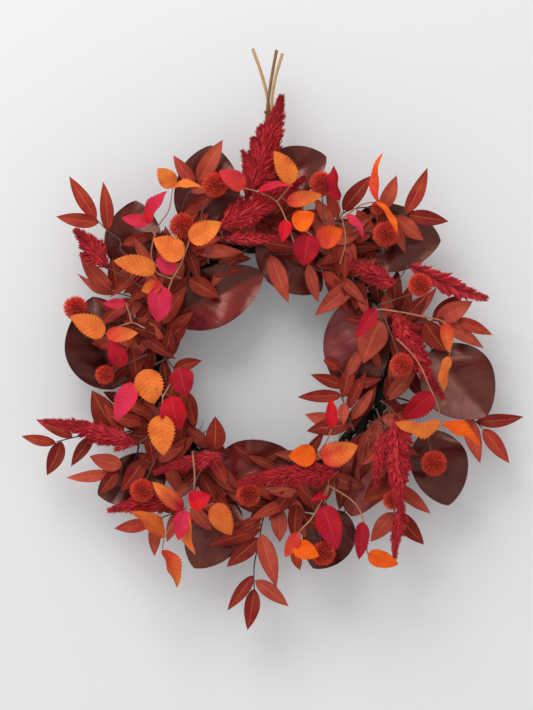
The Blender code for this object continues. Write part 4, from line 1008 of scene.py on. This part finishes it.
def stem_paths(stems, depth, diameter):
    """Centrelines of a pick's stems. The first one rises from between the vines, and each
    later one starts on an earlier one."""
    first = [place(*spot, depth) for spot in stems[0]]
    foot, following = first[0], first[1]
    rooted = (*foot[:2], BUNDLE_DEPTH + STRAND_RADIUS)
    bent = (*foot[:2], foot[2] - diameter)
    lean = foot + unit(following - foot) * diameter
    paths = [[np.array(spot, float) for spot in (rooted, bent, lean)] + first[1:]]
    for stem in stems[1:]:
        start = nearest_on(paths, place(*stem[0], depth)[:2])
        paths.append([start, start] + [place(*spot, depth) for spot in stem[1:]])
    return paths


def make_stems(skins, paths, diameter, finish, tone, draw):
    """Tapering wrapped stems with small knots."""
    for path in paths:
        route = [path[0]] + [b for a, b in zip(path, path[1:]) if np.linalg.norm(b - a) > 0.01]
        line = smooth(route, STEM_STEPS)
        radii = diameter / 2 * (0.9 - 0.4 * np.linspace(0, 1, len(line)))
        relief = 1 + draw.uniform(-0.06, 0.1, (len(line), STEM_SIDES))
        tube(skins, line, radii, STEM_SIDES, finish, tone, relief)


def make_blade(skins, kind, start, base, tip, width, tones, wreath, draw, finishes, halved=False):
    """A thin arched leaf with pressed veins, and its petiole, which runs on as the back's rib."""
    leaf = LEAVES[kind]
    along = tip - base
    length = np.linalg.norm(along)
    across = unit(np.cross(along, FORWARD))
    face = np.cross(across, unit(along))
    natural = leaf["natural"] * length
    roll = draw.uniform(-0.12, 0.12)
    if width < NARROWEST * natural:
        roll = draw.choice((-1.0, 1.0)) * min(math.acos(width / natural), MOST_ROLL)
        width = width / math.cos(roll)
    across, face = (
        across * math.cos(roll) + face * math.sin(roll),
        face * math.cos(roll) - across * math.sin(roll),
    )
    s, t = np.meshgrid(
        np.linspace(0, 1, leaf["rows"]), np.linspace(-1, 1, leaf["columns"]), indexing="ij"
    )
    rim = np.abs(t)
    swell, taper = leaf["swell"], leaf["taper"]
    peak = swell / (swell + taper)
    shape = s**swell * (1 - s) ** taper / (peak**swell * (1 - peak) ** taper)
    half = np.maximum(width / 2 * shape, 0.7 - 0.5 * s)
    tooth = (s * leaf["teeth"]) % 1.0 - 0.5
    half = half * (1 + leaf["tooth"] * tooth * rim**4 * np.sin(math.pi * s))
    uneven = 1 + draw.uniform(-0.05, 0.05) * np.sign(t)
    rise = leaf["arch"] * length * np.sin(math.pi * s)
    rise = rise + leaf["cup"] * draw.uniform(0.6, 1.5) * half * rim**1.6
    phase = draw.random(2)
    side_phase = np.where(t > 0, phase[0], phase[1])
    wave = np.sin(2 * math.pi * (leaf["waves"] * s + side_phase))
    rise = rise + leaf["ripple"] * half * rim**2 * wave
    curl = leaf["curl"] * draw.uniform(-0.4, 1.4) * length
    rise = rise - curl * np.clip(s - 0.55, 0, 1) ** 2 * 3
    rise = rise + draw.uniform(-0.12, 0.12) * half * t * (s - 0.4) * 2
    rise = rise - 0.6 * np.exp(-((half * t / 0.9) ** 2)) * (1 - s)
    swing = np.sin(2 * math.pi * (1.4 * s + 0.35 * t + phase[0]))
    rise = rise + leaf["billow"] * half * swing * np.sin(math.pi * s) * rim
    if leaf["veins"]:
        pleat = np.abs(np.sin(math.pi * leaf["veins"] * (s - leaf["slant"] * rim)))
    else:
        pleat = np.abs(np.sin(math.pi * (leaf["lines"] + 1.5) * rim))
    swelling = np.sin(math.pi * np.clip(rim, 0, 1)) * np.sin(math.pi * s) ** 0.5
    rise = rise + leaf["pleat"] * (pleat - 0.5) * swelling
    sway = draw.uniform(-0.025, 0.025) * length * np.sin(math.pi * s)
    middle = (
        base + along * s[..., None] + across * (half * t * uneven + sway)[..., None]
        + face * rise[..., None]
    )
    normal = unit(np.cross(np.gradient(middle, axis=1), np.gradient(middle, axis=0)))
    thick = wreath.sizes.leaf_thickness / MM * (1 - 0.5 * rim**2) * (1 - 0.4 * s)
    front = middle + normal * thick[..., None] / 2
    back = middle - normal * thick[..., None] / 2
    rows, columns = s.shape
    index = np.arange(rows * columns).reshape(rows, columns)
    behind = index + rows * columns
    upper = np.stack((index[:-1, :-1], index[:-1, 1:], index[1:, 1:], index[1:, :-1]), -1)
    lower = upper[..., ::-1] + rows * columns
    walls = np.concatenate((
        np.stack((index[:-1, -1], behind[:-1, -1], behind[1:, -1], index[1:, -1]), -1),
        np.stack((behind[:-1, 0], index[:-1, 0], index[1:, 0], behind[1:, 0]), -1),
        np.stack((behind[0, :-1], behind[0, 1:], index[0, 1:], index[0, :-1]), -1),
        np.stack((index[-1, :-1], index[-1, 1:], behind[-1, 1:], behind[-1, :-1]), -1),
    ))
    # A halved leaf has one tone on each side of its midrib; on some magnolia leaves the paler half
    # is painted sheen.
    if halved:
        share = np.clip(t * 6 + 0.5, 0, 1)[..., None]
    else:
        share = np.clip(s * 1.3 - 0.15 + 0.12 * np.sin(5 * t + phase[0] * 6), 0, 1)[..., None]
    tone = tones[0] * (1 - share) + tones[1] * share
    grain = np.stack((s, t, np.full_like(s, draw.random())), -1).reshape(-1, 3)
    points = np.vstack((front.reshape(-1, 3), back.reshape(-1, 3)))
    under = tone
    if finishes[0] != finishes[2]:
        under = np.broadcast_to(wreath.tint("suede"), tone.shape)
    skins.add(
        points, [upper.reshape(-1, 4), walls], finishes[0],
        np.vstack((tone.reshape(-1, 3), under.reshape(-1, 3))), np.vstack((grain, grain)),
    )
    skins.faces.append(lower.reshape(-1, 4) + skins.count - len(points))
    skins.finishes.append(np.full(lower.shape[0] * lower.shape[1], finishes[2]))
    ribbed = slice(0, int(rows * RIB_REACH), 3)
    rib = back[ribbed, columns // 2] - normal[ribbed, columns // 2] * 0.1
    reach = base - start
    petiole = rib
    if np.linalg.norm(reach) > 1.5:
        bow = face * 0.06 * np.linalg.norm(reach)
        route = smooth([start, start + reach * 0.5 + bow, rib[0]], 5)
        petiole = np.vstack((route[:-1], rib))
    radii = np.linspace(0.85, 0.35, len(petiole))
    tube(skins, petiole, radii, 6, finishes[1], wreath.tint("stem") * 0.6 + tones[0] * 0.4)


def fill_leaves(kind, paths, draw):
    """Smaller leaves that stand in pairs along a pick's stems, kept within the foliage's band."""
    filled = []
    size, width, apart = FILL_LEAVES[kind]
    for path in paths:
        line = smooth(path[2:] if len(path) > 3 else path, 12)
        ways = unit(np.gradient(line, axis=0))
        steps = np.concatenate(((0.0,), np.cumsum(np.linalg.norm(np.diff(line, axis=0), axis=1))))
        for reach in np.arange(apart * draw.uniform(0.3, 0.7), steps[-1], apart):
            spot = int(np.searchsorted(steps, reach))
            for side in (-1, 1):
                turn = side * math.radians(draw.uniform(28, 72))
                x, z, _ = unit(ways[spot])
                way = np.array((x * math.cos(turn) - z * math.sin(turn),
                                x * math.sin(turn) + z * math.cos(turn), draw.uniform(-0.05, 0.12)))
                length = size * draw.uniform(0.8, 1.15)
                lift = draw.uniform(-1.0, 4.0)
                base = line[spot] + way * 3 + FORWARD * lift * 0.5
                tip = base + unit(way) * length + FORWARD * lift
                radius = math.hypot(tip[0], tip[1]) / LAYOUT_SCALE
                if FILL_BAND[0] < radius < FILL_BAND[1] and tip[2] > RING_FRONT + FILL_FRONT:
                    filled.append((line[spot], base, tip, width * draw.uniform(0.8, 1.2)))
    return filled


def make_leaf_picks(wreath, kind, picks, finishes, diameter, stem_tint, dark=()):
    """One piece for each pick of leaves."""
    for number, (where, depth, stems, leaves) in enumerate(picks):
        draw = np.random.default_rng(SEEDS["leaves"] * len(kind) + number)
        skins = Skins()
        paths = stem_paths(stems, depth, diameter)
        tone = wreath.tint("stem_dark" if where in dark else stem_tint)
        make_stems(skins, paths, diameter, 1, tone, draw)
        for leaf in leaves:
            x0, z0, x1, z1, width, base_lift, tip_lift = leaf[:7]
            tints = leaf[7] if len(leaf) > 7 else draw.choice(LEAVES[kind]["tints"])
            halved = "|" in tints
            tints = str(tints).replace("|", "/").split("/")
            shade = draw.uniform(0.86, 1.14)
            tones = (wreath.tint(tints[0]) * shade, wreath.tint(tints[-1]) * shade)
            base = place(x0, z0, depth + base_lift)
            tip = place(x1, z1, depth + tip_lift)
            start = nearest_on(paths, base[:2])
            order = (0, 1, 2 if len(finishes) > 2 else 0)
            width = width * LEAVES[kind]["broad"] * LAYOUT_SCALE
            make_blade(skins, kind, start, base, tip, width, tones, wreath, draw, order, halved)
        if kind in FILL_LEAVES:
            for start, base, tip, width in fill_leaves(kind, paths, draw):
                tint = wreath.tint(str(draw.choice(LEAVES[kind]["tints"])))
                tones = (tint * draw.uniform(0.6, 1.05),) * 2
                make_blade(skins, kind, start, base, tip, width, tones, wreath, draw, (0, 1, 0))
        node = f"{kind}_{'pick' if kind == 'magnolia' else 'spray'}_{where}"
        make_piece(f"{kind}_leaves_{where}", skins, finishes, [node])


def stem_finish(name):
    fixed = {"Specular IOR Level": 0.35, "Sheen Weight": 0.1}
    return toned_finish(name, fixed, 90.0, 1100.0, 0.2, (0.55, 0.85), 0.4)


def make_magnolia(wreath):
    glossy = {"Specular IOR Level": 0.85, "Specular Tint": WARM_GLOSS, "Coat Weight": 0.12,
              "Coat Roughness": 0.25}
    matt = {"Sheen Weight": 0.35, "Specular IOR Level": 0.25}
    upper = leaf_finish("magnolia_satin", "magnolia", glossy, wreath.tint("plum"), 0.35, 0.22, 0.4,
                        (0.28, 0.44), 0.3)
    under = leaf_finish("magnolia_suede", "magnolia", matt, wreath.tint("suede"), 0.3, 0.2, 0.2,
                        (0.7, 0.9), 0.15)
    finishes = [upper, stem_finish("magnolia_stem"), under]
    make_leaf_picks(wreath, "magnolia", MAGNOLIA_PICKS, finishes, HEAVY_STEM, "stem")


def make_willow(wreath):
    fixed = {"Specular IOR Level": 0.4, "Specular Tint": WARM_GLOSS}
    leaf = leaf_finish("willow_matt", "willow", fixed, wreath.tint("rib"), 0.5, 0.42, 0.4,
                       (0.45, 0.68), 0.14)
    finishes = [leaf, stem_finish("willow_stem")]
    make_leaf_picks(wreath, "willow", WILLOW_PICKS, finishes, STEM_DIAMETER, "stem", DARK_STEMS)
    make_under_leaves(wreath, finishes)


def make_under_leaves(wreath, finishes):
    """Willow leaves rooted between the vines all round, which fill the wreath under the picks;
    their darkened tint is painted shade.
    """
    draw = np.random.default_rng(SEEDS["under"])
    skins = Skins()
    for number in range(UNDER_LEAVES):
        angle = 2 * math.pi * (number + draw.uniform(-0.3, 0.3)) / UNDER_LEAVES
        out = np.array((math.cos(angle), math.sin(angle), 0.0))
        round_way = np.array((-out[1], out[0], 0.0)) * draw.choice((-1.0, 1.0))
        inward = number % 4 == 0
        crest = number % 4 == 2
        aside = (-0.75 if inward else 0.3 if crest else 1.0) * draw.uniform(0.25, 1.1)
        way = unit(round_way + out * aside + FORWARD * draw.uniform(-0.05, 0.12))
        section = draw.uniform(0.4, 1.0) + (1.5 if inward else 0.7 if crest else 0.0)
        start = out * (RING_RADIUS + BUNDLE_RADIUS * 0.9 * math.cos(section))
        start = start + FORWARD * (BUNDLE_DEPTH + BUNDLE_RADIUS * 0.9 * math.sin(section))
        behind = not inward and not crest and number % 8 == 1
        front = RING_FRONT + (draw.uniform(-10, -6) if behind else draw.uniform(15, 20))
        base = start + way * 9
        base[2] = front
        length = draw.uniform(36, 46) if inward else draw.uniform(44, 64)
        tip = base + way * length
        tip[2] = front + draw.uniform(-2, 3)
        tint = wreath.tint(str(draw.choice(UNDER_TINTS)))
        # Painted shade: these leaves lie deep under the picks, so their tint is darkened to between
        # 45 and 85 per cent.
        tones = (tint * draw.uniform(0.45, 0.85),) * 2
        width = length * draw.uniform(0.3, 0.4)
        make_blade(skins, "willow", start, base, tip, width, tones, wreath, draw, (0, 1, 0))
    make_piece("willow_leaves_under", skins, finishes)


def make_beech(wreath):
    fixed = {"Specular IOR Level": 0.3, "Specular Tint": WARM_GLOSS}
    leaf = leaf_finish("beech_pressed", "beech", fixed, wreath.tint("tan_orange"), 0.3, 0.3, 0.14,
                       (0.5, 0.75), 0.1)
    finishes = [leaf, stem_finish("beech_stem")]
    make_leaf_picks(wreath, "beech", BEECH_PICKS, finishes, STEM_DIAMETER, "stem_tan")


def make_plume(skins, base, tip, radius, loose, wreath, draw, tufts=0):
    """A plume of overlapping florets in a golden spiral round its spine, with fine hairs and
    smaller tufts that branch from it."""
    along = tip - base
    length = np.linalg.norm(along)
    axis = along / length
    aside = unit(np.cross(axis, FORWARD))
    upright = np.cross(aside, axis)
    for tuft in range(tufts):
        share = 0.04 + 0.52 * (tuft + draw.uniform(0.2, 0.8)) / tufts
        root = base + along * share
        side = (1 if tuft % 2 else -1) * draw.uniform(0.45, 0.8)
        way = unit(axis + aside * side + upright * draw.uniform(-0.3, 0.3))
        reach = radius * draw.uniform(1.5, 2.1) * (1.1 - 0.9 * share)
        make_plume(skins, root, root + way * reach, radius * 0.42, False, wreath, draw)
    count = int(wreath.sizes.florets * length * radius / 1000 * (0.13 if loose else 1.0))
    number = np.arange(count)
    share = ((number + 0.5) / count) ** 0.92
    turn = number * GOLDEN_TURN
    if loose:
        turn = np.where(number % 2, 0.0, math.pi) + draw.uniform(-0.5, 0.5, count)
    outline = np.interp(share, *PLUME_OUTLINE)
    outline = outline * draw.uniform(0.82, 1.14, count)
    out = np.cos(turn)[:, None] * aside + np.sin(turn)[:, None] * upright * 0.85
    spine = base + along * share[:, None]
    spine = spine + aside * (PLUME_SWAY * length * np.sin(math.pi * share))[:, None]
    ways = unit(out * 0.62 + axis + draw.normal(0, 0.12, (count, 3)))
    lengths = radius * outline * (1.25 if loose else 1.05) + 2.4
    roots = spine + out * (radius * outline * (0.0 if loose else 0.18))[:, None]
    width = wreath.sizes.floret_width / MM * (1.9 if loose else 1.0)
    widths = width * np.clip(outline, 0.45, 1.0) * draw.uniform(0.8, 1.2, count)
    light = draw.random((count, 1)) ** 1.5
    tones = wreath.tint("plume") * (1 - light) + wreath.tint("plume_light") * light
    bends = draw.normal(0, 0.7, (count, 3))
    spikes(skins, roots, ways, lengths, widths, FLORET, 5, 0, tones, bends)
    hairs = (16 if loose else 7) * count
    pick = draw.integers(0, count, hairs)
    from_root = draw.uniform(0.3, 0.9, (hairs, 1))
    roots = roots[pick] + ways[pick] * lengths[pick][:, None] * from_root
    hair_ways = ways[pick] + draw.normal(0, 0.5, (hairs, 3))
    tones = tones[pick] * draw.uniform(0.7, 1.2, (hairs, 1))
    spikes(skins, roots, hair_ways, draw.uniform(2.0, 4.4, hairs), 0.3, HAIR, 3, 0, tones)
    line = base + along * np.linspace(-0.02, 0.96, CORE_STEPS)[:, None]
    sway = PLUME_SWAY * length * np.sin(math.pi * np.linspace(0, 0.96, CORE_STEPS))
    line = line + aside * sway[:, None]
    core = radius * (0.1 if loose else 0.34)
    core = core * np.interp(np.linspace(0, 1, CORE_STEPS), *CORE_OUTLINE)
    relief = 1 + draw.uniform(-0.2, 0.2, (CORE_STEPS, CORE_SIDES))
    tube(skins, line, core, CORE_SIDES, 0, wreath.tint("plume_tip"), relief)


def make_celosia(wreath):
    """Crimson plumes on their stems."""
    fixed = {"Sheen Weight": 0.1, "Sheen Roughness": 0.5, "Specular IOR Level": 0.2}
    dark = rgba(wreath.tint("plume_tip"))
    soft = tipped_finish("celosia_floret", fixed, dark, 0.05, 0.5, (0.72, 0.95))
    finishes = [soft, stem_finish("celosia_stem")]
    for number, (where, depth, stems, plumes) in enumerate(CELOSIA_PICKS):
        draw = np.random.default_rng(SEEDS["celosia"] + number)
        skins = Skins()
        paths = stem_paths(stems, depth, STEM_DIAMETER)
        make_stems(skins, paths, STEM_DIAMETER, 1, wreath.tint("stem"), draw)
        for x0, z0, x1, z1, width, base_lift, tip_lift in plumes:
            base = place(x0, z0, depth + base_lift)
            tip = place(x1, z1, depth + tip_lift)
            start = nearest_on(paths, base[:2])
            ends = [start, (start + base) / 2, base, base + (tip - base) * 0.1]
            tube(skins, smooth(ends, 4), PETIOLE_RADIUS, STEM_SIDES, 1, wreath.tint("stem"))
            loose = (x0, z0) in OPEN_PLUMES
            radius = width / 2 * LAYOUT_SCALE * PLUME_FLUFF
            tufts = 0 if loose else int(np.linalg.norm(tip - base) / TUFTS_APART)
            make_plume(skins, base, tip, radius, loose, wreath, draw, tufts)
        node = f"celosia_pick_{where}"
        make_piece(f"celosia_plumes_{where}", skins, finishes, [node])


def make_balls(wreath):
    """Ball heads of fine bristles on their stems."""
    fixed = {"Sheen Weight": 0.08, "Specular IOR Level": 0.25}
    dark = rgba(wreath.tint("ball"))
    bristly = tipped_finish("ball_bristle", fixed, dark, 0.1, 0.75, (0.6, 0.85))
    finishes = [bristly, stem_finish("ball_stem")]
    for number, (where, depth, stems, heads) in enumerate(BALL_PICKS):
        draw = np.random.default_rng(SEEDS["balls"] + number)
        skins = Skins()
        paths = stem_paths(stems, depth, STEM_DIAMETER)
        make_stems(skins, paths, STEM_DIAMETER, 1, wreath.tint("stem"), draw)
        for x, z, radius, lift in heads:
            centre = place(x, z, depth + lift)
            size = radius * LAYOUT_SCALE
            start = nearest_on(paths, centre[:2])
            ends = [start, (start + centre) / 2, centre]
            tube(skins, smooth(ends, 5), PETIOLE_RADIUS, STEM_SIDES, 1, wreath.tint("stem"))
            count = int(wreath.sizes.bristles * (radius / BALL_RADIUS) ** 2)
            rank = (np.arange(count) + 0.5) / count
            turn = np.arange(count) * GOLDEN_TURN
            level = 1 - 2 * rank
            flat = np.sqrt(1 - level**2)
            ways = np.column_stack((flat * np.cos(turn), flat * np.sin(turn), level))
            ways = unit(ways + draw.normal(0, 0.06, ways.shape))
            lengths = size * draw.uniform(0.42, 0.56, count)
            roots = centre + ways * size * 0.5
            tones = wreath.tint("ball_tip") * draw.uniform(0.8, 1.15, (count, 1))
            width = wreath.sizes.bristle_width / MM
            bends = draw.normal(0, 0.35, (count, 3))
            spikes(skins, roots, ways, lengths, width, BRISTLE, 3, 0, tones, bends)
            lobes = np.arange(1, 12) / 12
            rings = tuple((share, math.sqrt(1 - (2 * share - 1) ** 2)) for share in lobes)
            core = size * BALL_CORE
            bottom, tone = centre - FORWARD * core, wreath.tint("ball")
            spikes(skins, [bottom], [FORWARD], 2 * core, core, rings, 20, 0, tone)
        make_piece(f"ball_heads_{where}", skins, finishes, [f"ball_pick_{where}"])


# Stage ---------------------------------------------------------------------------------------


def make_stage(wreath):
    """Pale wall and floor, soft light from the upper left, and the camera in front."""
    plain = Finish("studio_paint", {})
    grains = plain.noise(300.0)
    plain.finish(rgba(wreath.tint("wall")), plain.spread(grains, 0.85, 0.95), grains, 0.02)
    see_through = plain.node("ShaderNodeBsdfTransparent", {})
    behind = plain.node("ShaderNodeNewGeometry", {}, "Backfacing")
    inputs = {0: behind, 1: plain.shader.outputs[0], 2: see_through}
    either = plain.node("ShaderNodeMixShader", inputs)
    plain.feed(plain.tree.nodes["Material Output"].inputs["Surface"], either)
    wall_y = CAD_BOX[1].y + wreath.sizes.wall_gap
    floor_z = RING_HEIGHT - FLOOR_DROP
    reach, front = STAGE_REACH, FLOOR_FRONT
    corners = {
        "studio_wall": ((-reach, wall_y, floor_z), (reach, wall_y, floor_z),
                        (reach, wall_y, WALL_TOP), (-reach, wall_y, WALL_TOP)),
        "studio_floor": ((-reach, front, floor_z), (reach, front, floor_z),
                         (reach, wall_y, floor_z), (-reach, wall_y, floor_z)),
    }
    for name, places in corners.items():
        mesh = bpy.data.meshes.new(name)
        mesh.from_pydata(places, [], [(0, 1, 2, 3)])
        mesh.materials.append(plain.material)
        stage = bpy.data.objects.new(name, mesh)
        bpy.context.collection.objects.link(stage)
    key = bpy.data.lights.new("soft_key", "AREA")
    key.energy = wreath.light.key
    key.shape = "DISK"
    key.size = LAMP_SIZE
    lamp = bpy.data.objects.new("soft_key", key)
    lamp.location = (*LAMP_PLACE[:2], RING_HEIGHT + LAMP_PLACE[2])
    aim = HOOP_LOW.lerp(HOOP_HIGH, 0.5) - lamp.location
    lamp.rotation_euler = aim.to_track_quat("-Z", "Y").to_euler()
    bpy.context.collection.objects.link(lamp)
    world = bpy.data.worlds.new("studio_air")
    world.use_nodes = True
    sky = world.node_tree.nodes["Background"]
    sky.inputs["Color"].default_value = (1.0, 1.0, 1.0, 1.0)
    sky.inputs["Strength"].default_value = wreath.light.fill
    scene = bpy.context.scene
    scene.world = world
    scene.view_settings.view_transform = "Standard"
    camera = bpy.data.cameras.new("front_camera")
    distance = wreath.light.distance
    camera.lens = camera.sensor_width * distance / wreath.light.view_height
    holder = bpy.data.objects.new("front_camera", camera)
    plane = -(RING_FRONT + VIEW_PLANE) * MM
    holder.location = (CAMERA_ASIDE, plane - distance, RING_HEIGHT + CAMERA_RISE)
    holder.rotation_euler = (math.pi / 2, 0.0, 0.0)
    bpy.context.collection.objects.link(holder)
    scene.camera = holder


# Operators and panel -----------------------------------------------------------------------------


class WREATH_OT_stage(bpy.types.Operator):
    """Make the wall, the floor, the light and the camera"""

    bl_idname = "wreath.stage"
    bl_label = "Stage"

    def execute(self, context):
        make_stage(context.scene.wreath)
        return {"FINISHED"}


class WREATH_OT_ring_wires(bpy.types.Operator):
    """Make the wire hoop and its ties"""

    bl_idname = "wreath.ring_wires"
    bl_label = "Hoop and ties"

    def execute(self, context):
        make_ring_wires(context.scene.wreath)
        return {"FINISHED"}


class WREATH_OT_vines(bpy.types.Operator):
    """Make the three twisted vines"""

    bl_idname = "wreath.vines"
    bl_label = "Vines"

    def execute(self, context):
        make_vines(context.scene.wreath)
        return {"FINISHED"}


class WREATH_OT_moss(bpy.types.Operator):
    """Make the moss and the curling twigs"""

    bl_idname = "wreath.moss"
    bl_label = "Moss and twigs"

    def execute(self, context):
        make_moss(context.scene.wreath)
        return {"FINISHED"}


class WREATH_OT_hanging_loop(bpy.types.Operator):
    """Make the wire bail that the wreath hangs on"""

    bl_idname = "wreath.hanging_loop"
    bl_label = "Hanging loop"

    def execute(self, context):
        make_hanging_loop(context.scene.wreath)
        return {"FINISHED"}


class WREATH_OT_hanger_stems(bpy.types.Operator):
    """Make the three paper-wrapped hanger stems and their tie"""

    bl_idname = "wreath.hanger_stems"
    bl_label = "Hanger stems"

    def execute(self, context):
        make_hanger_stems(context.scene.wreath)
        return {"FINISHED"}


class WREATH_OT_magnolia(bpy.types.Operator):
    """Make the large satin magnolia leaves"""

    bl_idname = "wreath.magnolia"
    bl_label = "Magnolia leaves"

    def execute(self, context):
        make_magnolia(context.scene.wreath)
        return {"FINISHED"}


class WREATH_OT_willow(bpy.types.Operator):
    """Make the narrow rust-red willow leaves"""

    bl_idname = "wreath.willow"
    bl_label = "Willow leaves"

    def execute(self, context):
        make_willow(context.scene.wreath)
        return {"FINISHED"}


class WREATH_OT_beech(bpy.types.Operator):
    """Make the toothed orange, pink and crimson beech leaves"""

    bl_idname = "wreath.beech"
    bl_label = "Beech leaves"

    def execute(self, context):
        make_beech(context.scene.wreath)
        return {"FINISHED"}


class WREATH_OT_celosia(bpy.types.Operator):
    """Make the crimson celosia plumes"""

    bl_idname = "wreath.celosia"
    bl_label = "Celosia plumes"

    def execute(self, context):
        make_celosia(context.scene.wreath)
        return {"FINISHED"}


class WREATH_OT_balls(bpy.types.Operator):
    """Make the spiky ball heads"""

    bl_idname = "wreath.balls"
    bl_label = "Ball heads"

    def execute(self, context):
        make_balls(context.scene.wreath)
        return {"FINISHED"}


OPERATORS = (
    WREATH_OT_stage, WREATH_OT_ring_wires, WREATH_OT_vines, WREATH_OT_moss, WREATH_OT_hanging_loop,
    WREATH_OT_hanger_stems, WREATH_OT_magnolia, WREATH_OT_willow, WREATH_OT_beech,
    WREATH_OT_celosia, WREATH_OT_balls,
)


class WREATH_PT_panel(bpy.types.Panel):
    """Sizes, colours and makers of the wreath"""

    bl_label = "Harvest door wreath"
    bl_idname = "WREATH_PT_panel"
    bl_space_type = "VIEW_3D"
    bl_region_type = "UI"
    bl_category = "Wreath"

    def draw(self, context):
        wreath = context.scene.wreath
        for group in (wreath.sizes, wreath.light, wreath.colours):
            box = self.layout.box()
            for name in group.__annotations__:
                box.prop(group, name)
        for operator in OPERATORS:
            self.layout.operator(operator.bl_idname)


CLASSES = (WreathSizes, WreathColours, WreathLight, Wreath, *OPERATORS, WREATH_PT_panel)


def register():
    for each in CLASSES:
        bpy.utils.register_class(each)
    bpy.types.Scene.wreath = PointerProperty(type=Wreath)


def unregister():
    del bpy.types.Scene.wreath
    for each in reversed(CLASSES):
        bpy.utils.unregister_class(each)


def main():
    register()
    for operator in OPERATORS:
        group, name = operator.bl_idname.split(".")
        getattr(getattr(bpy.ops, group), name)()


if __name__ == "__main__":
    main()
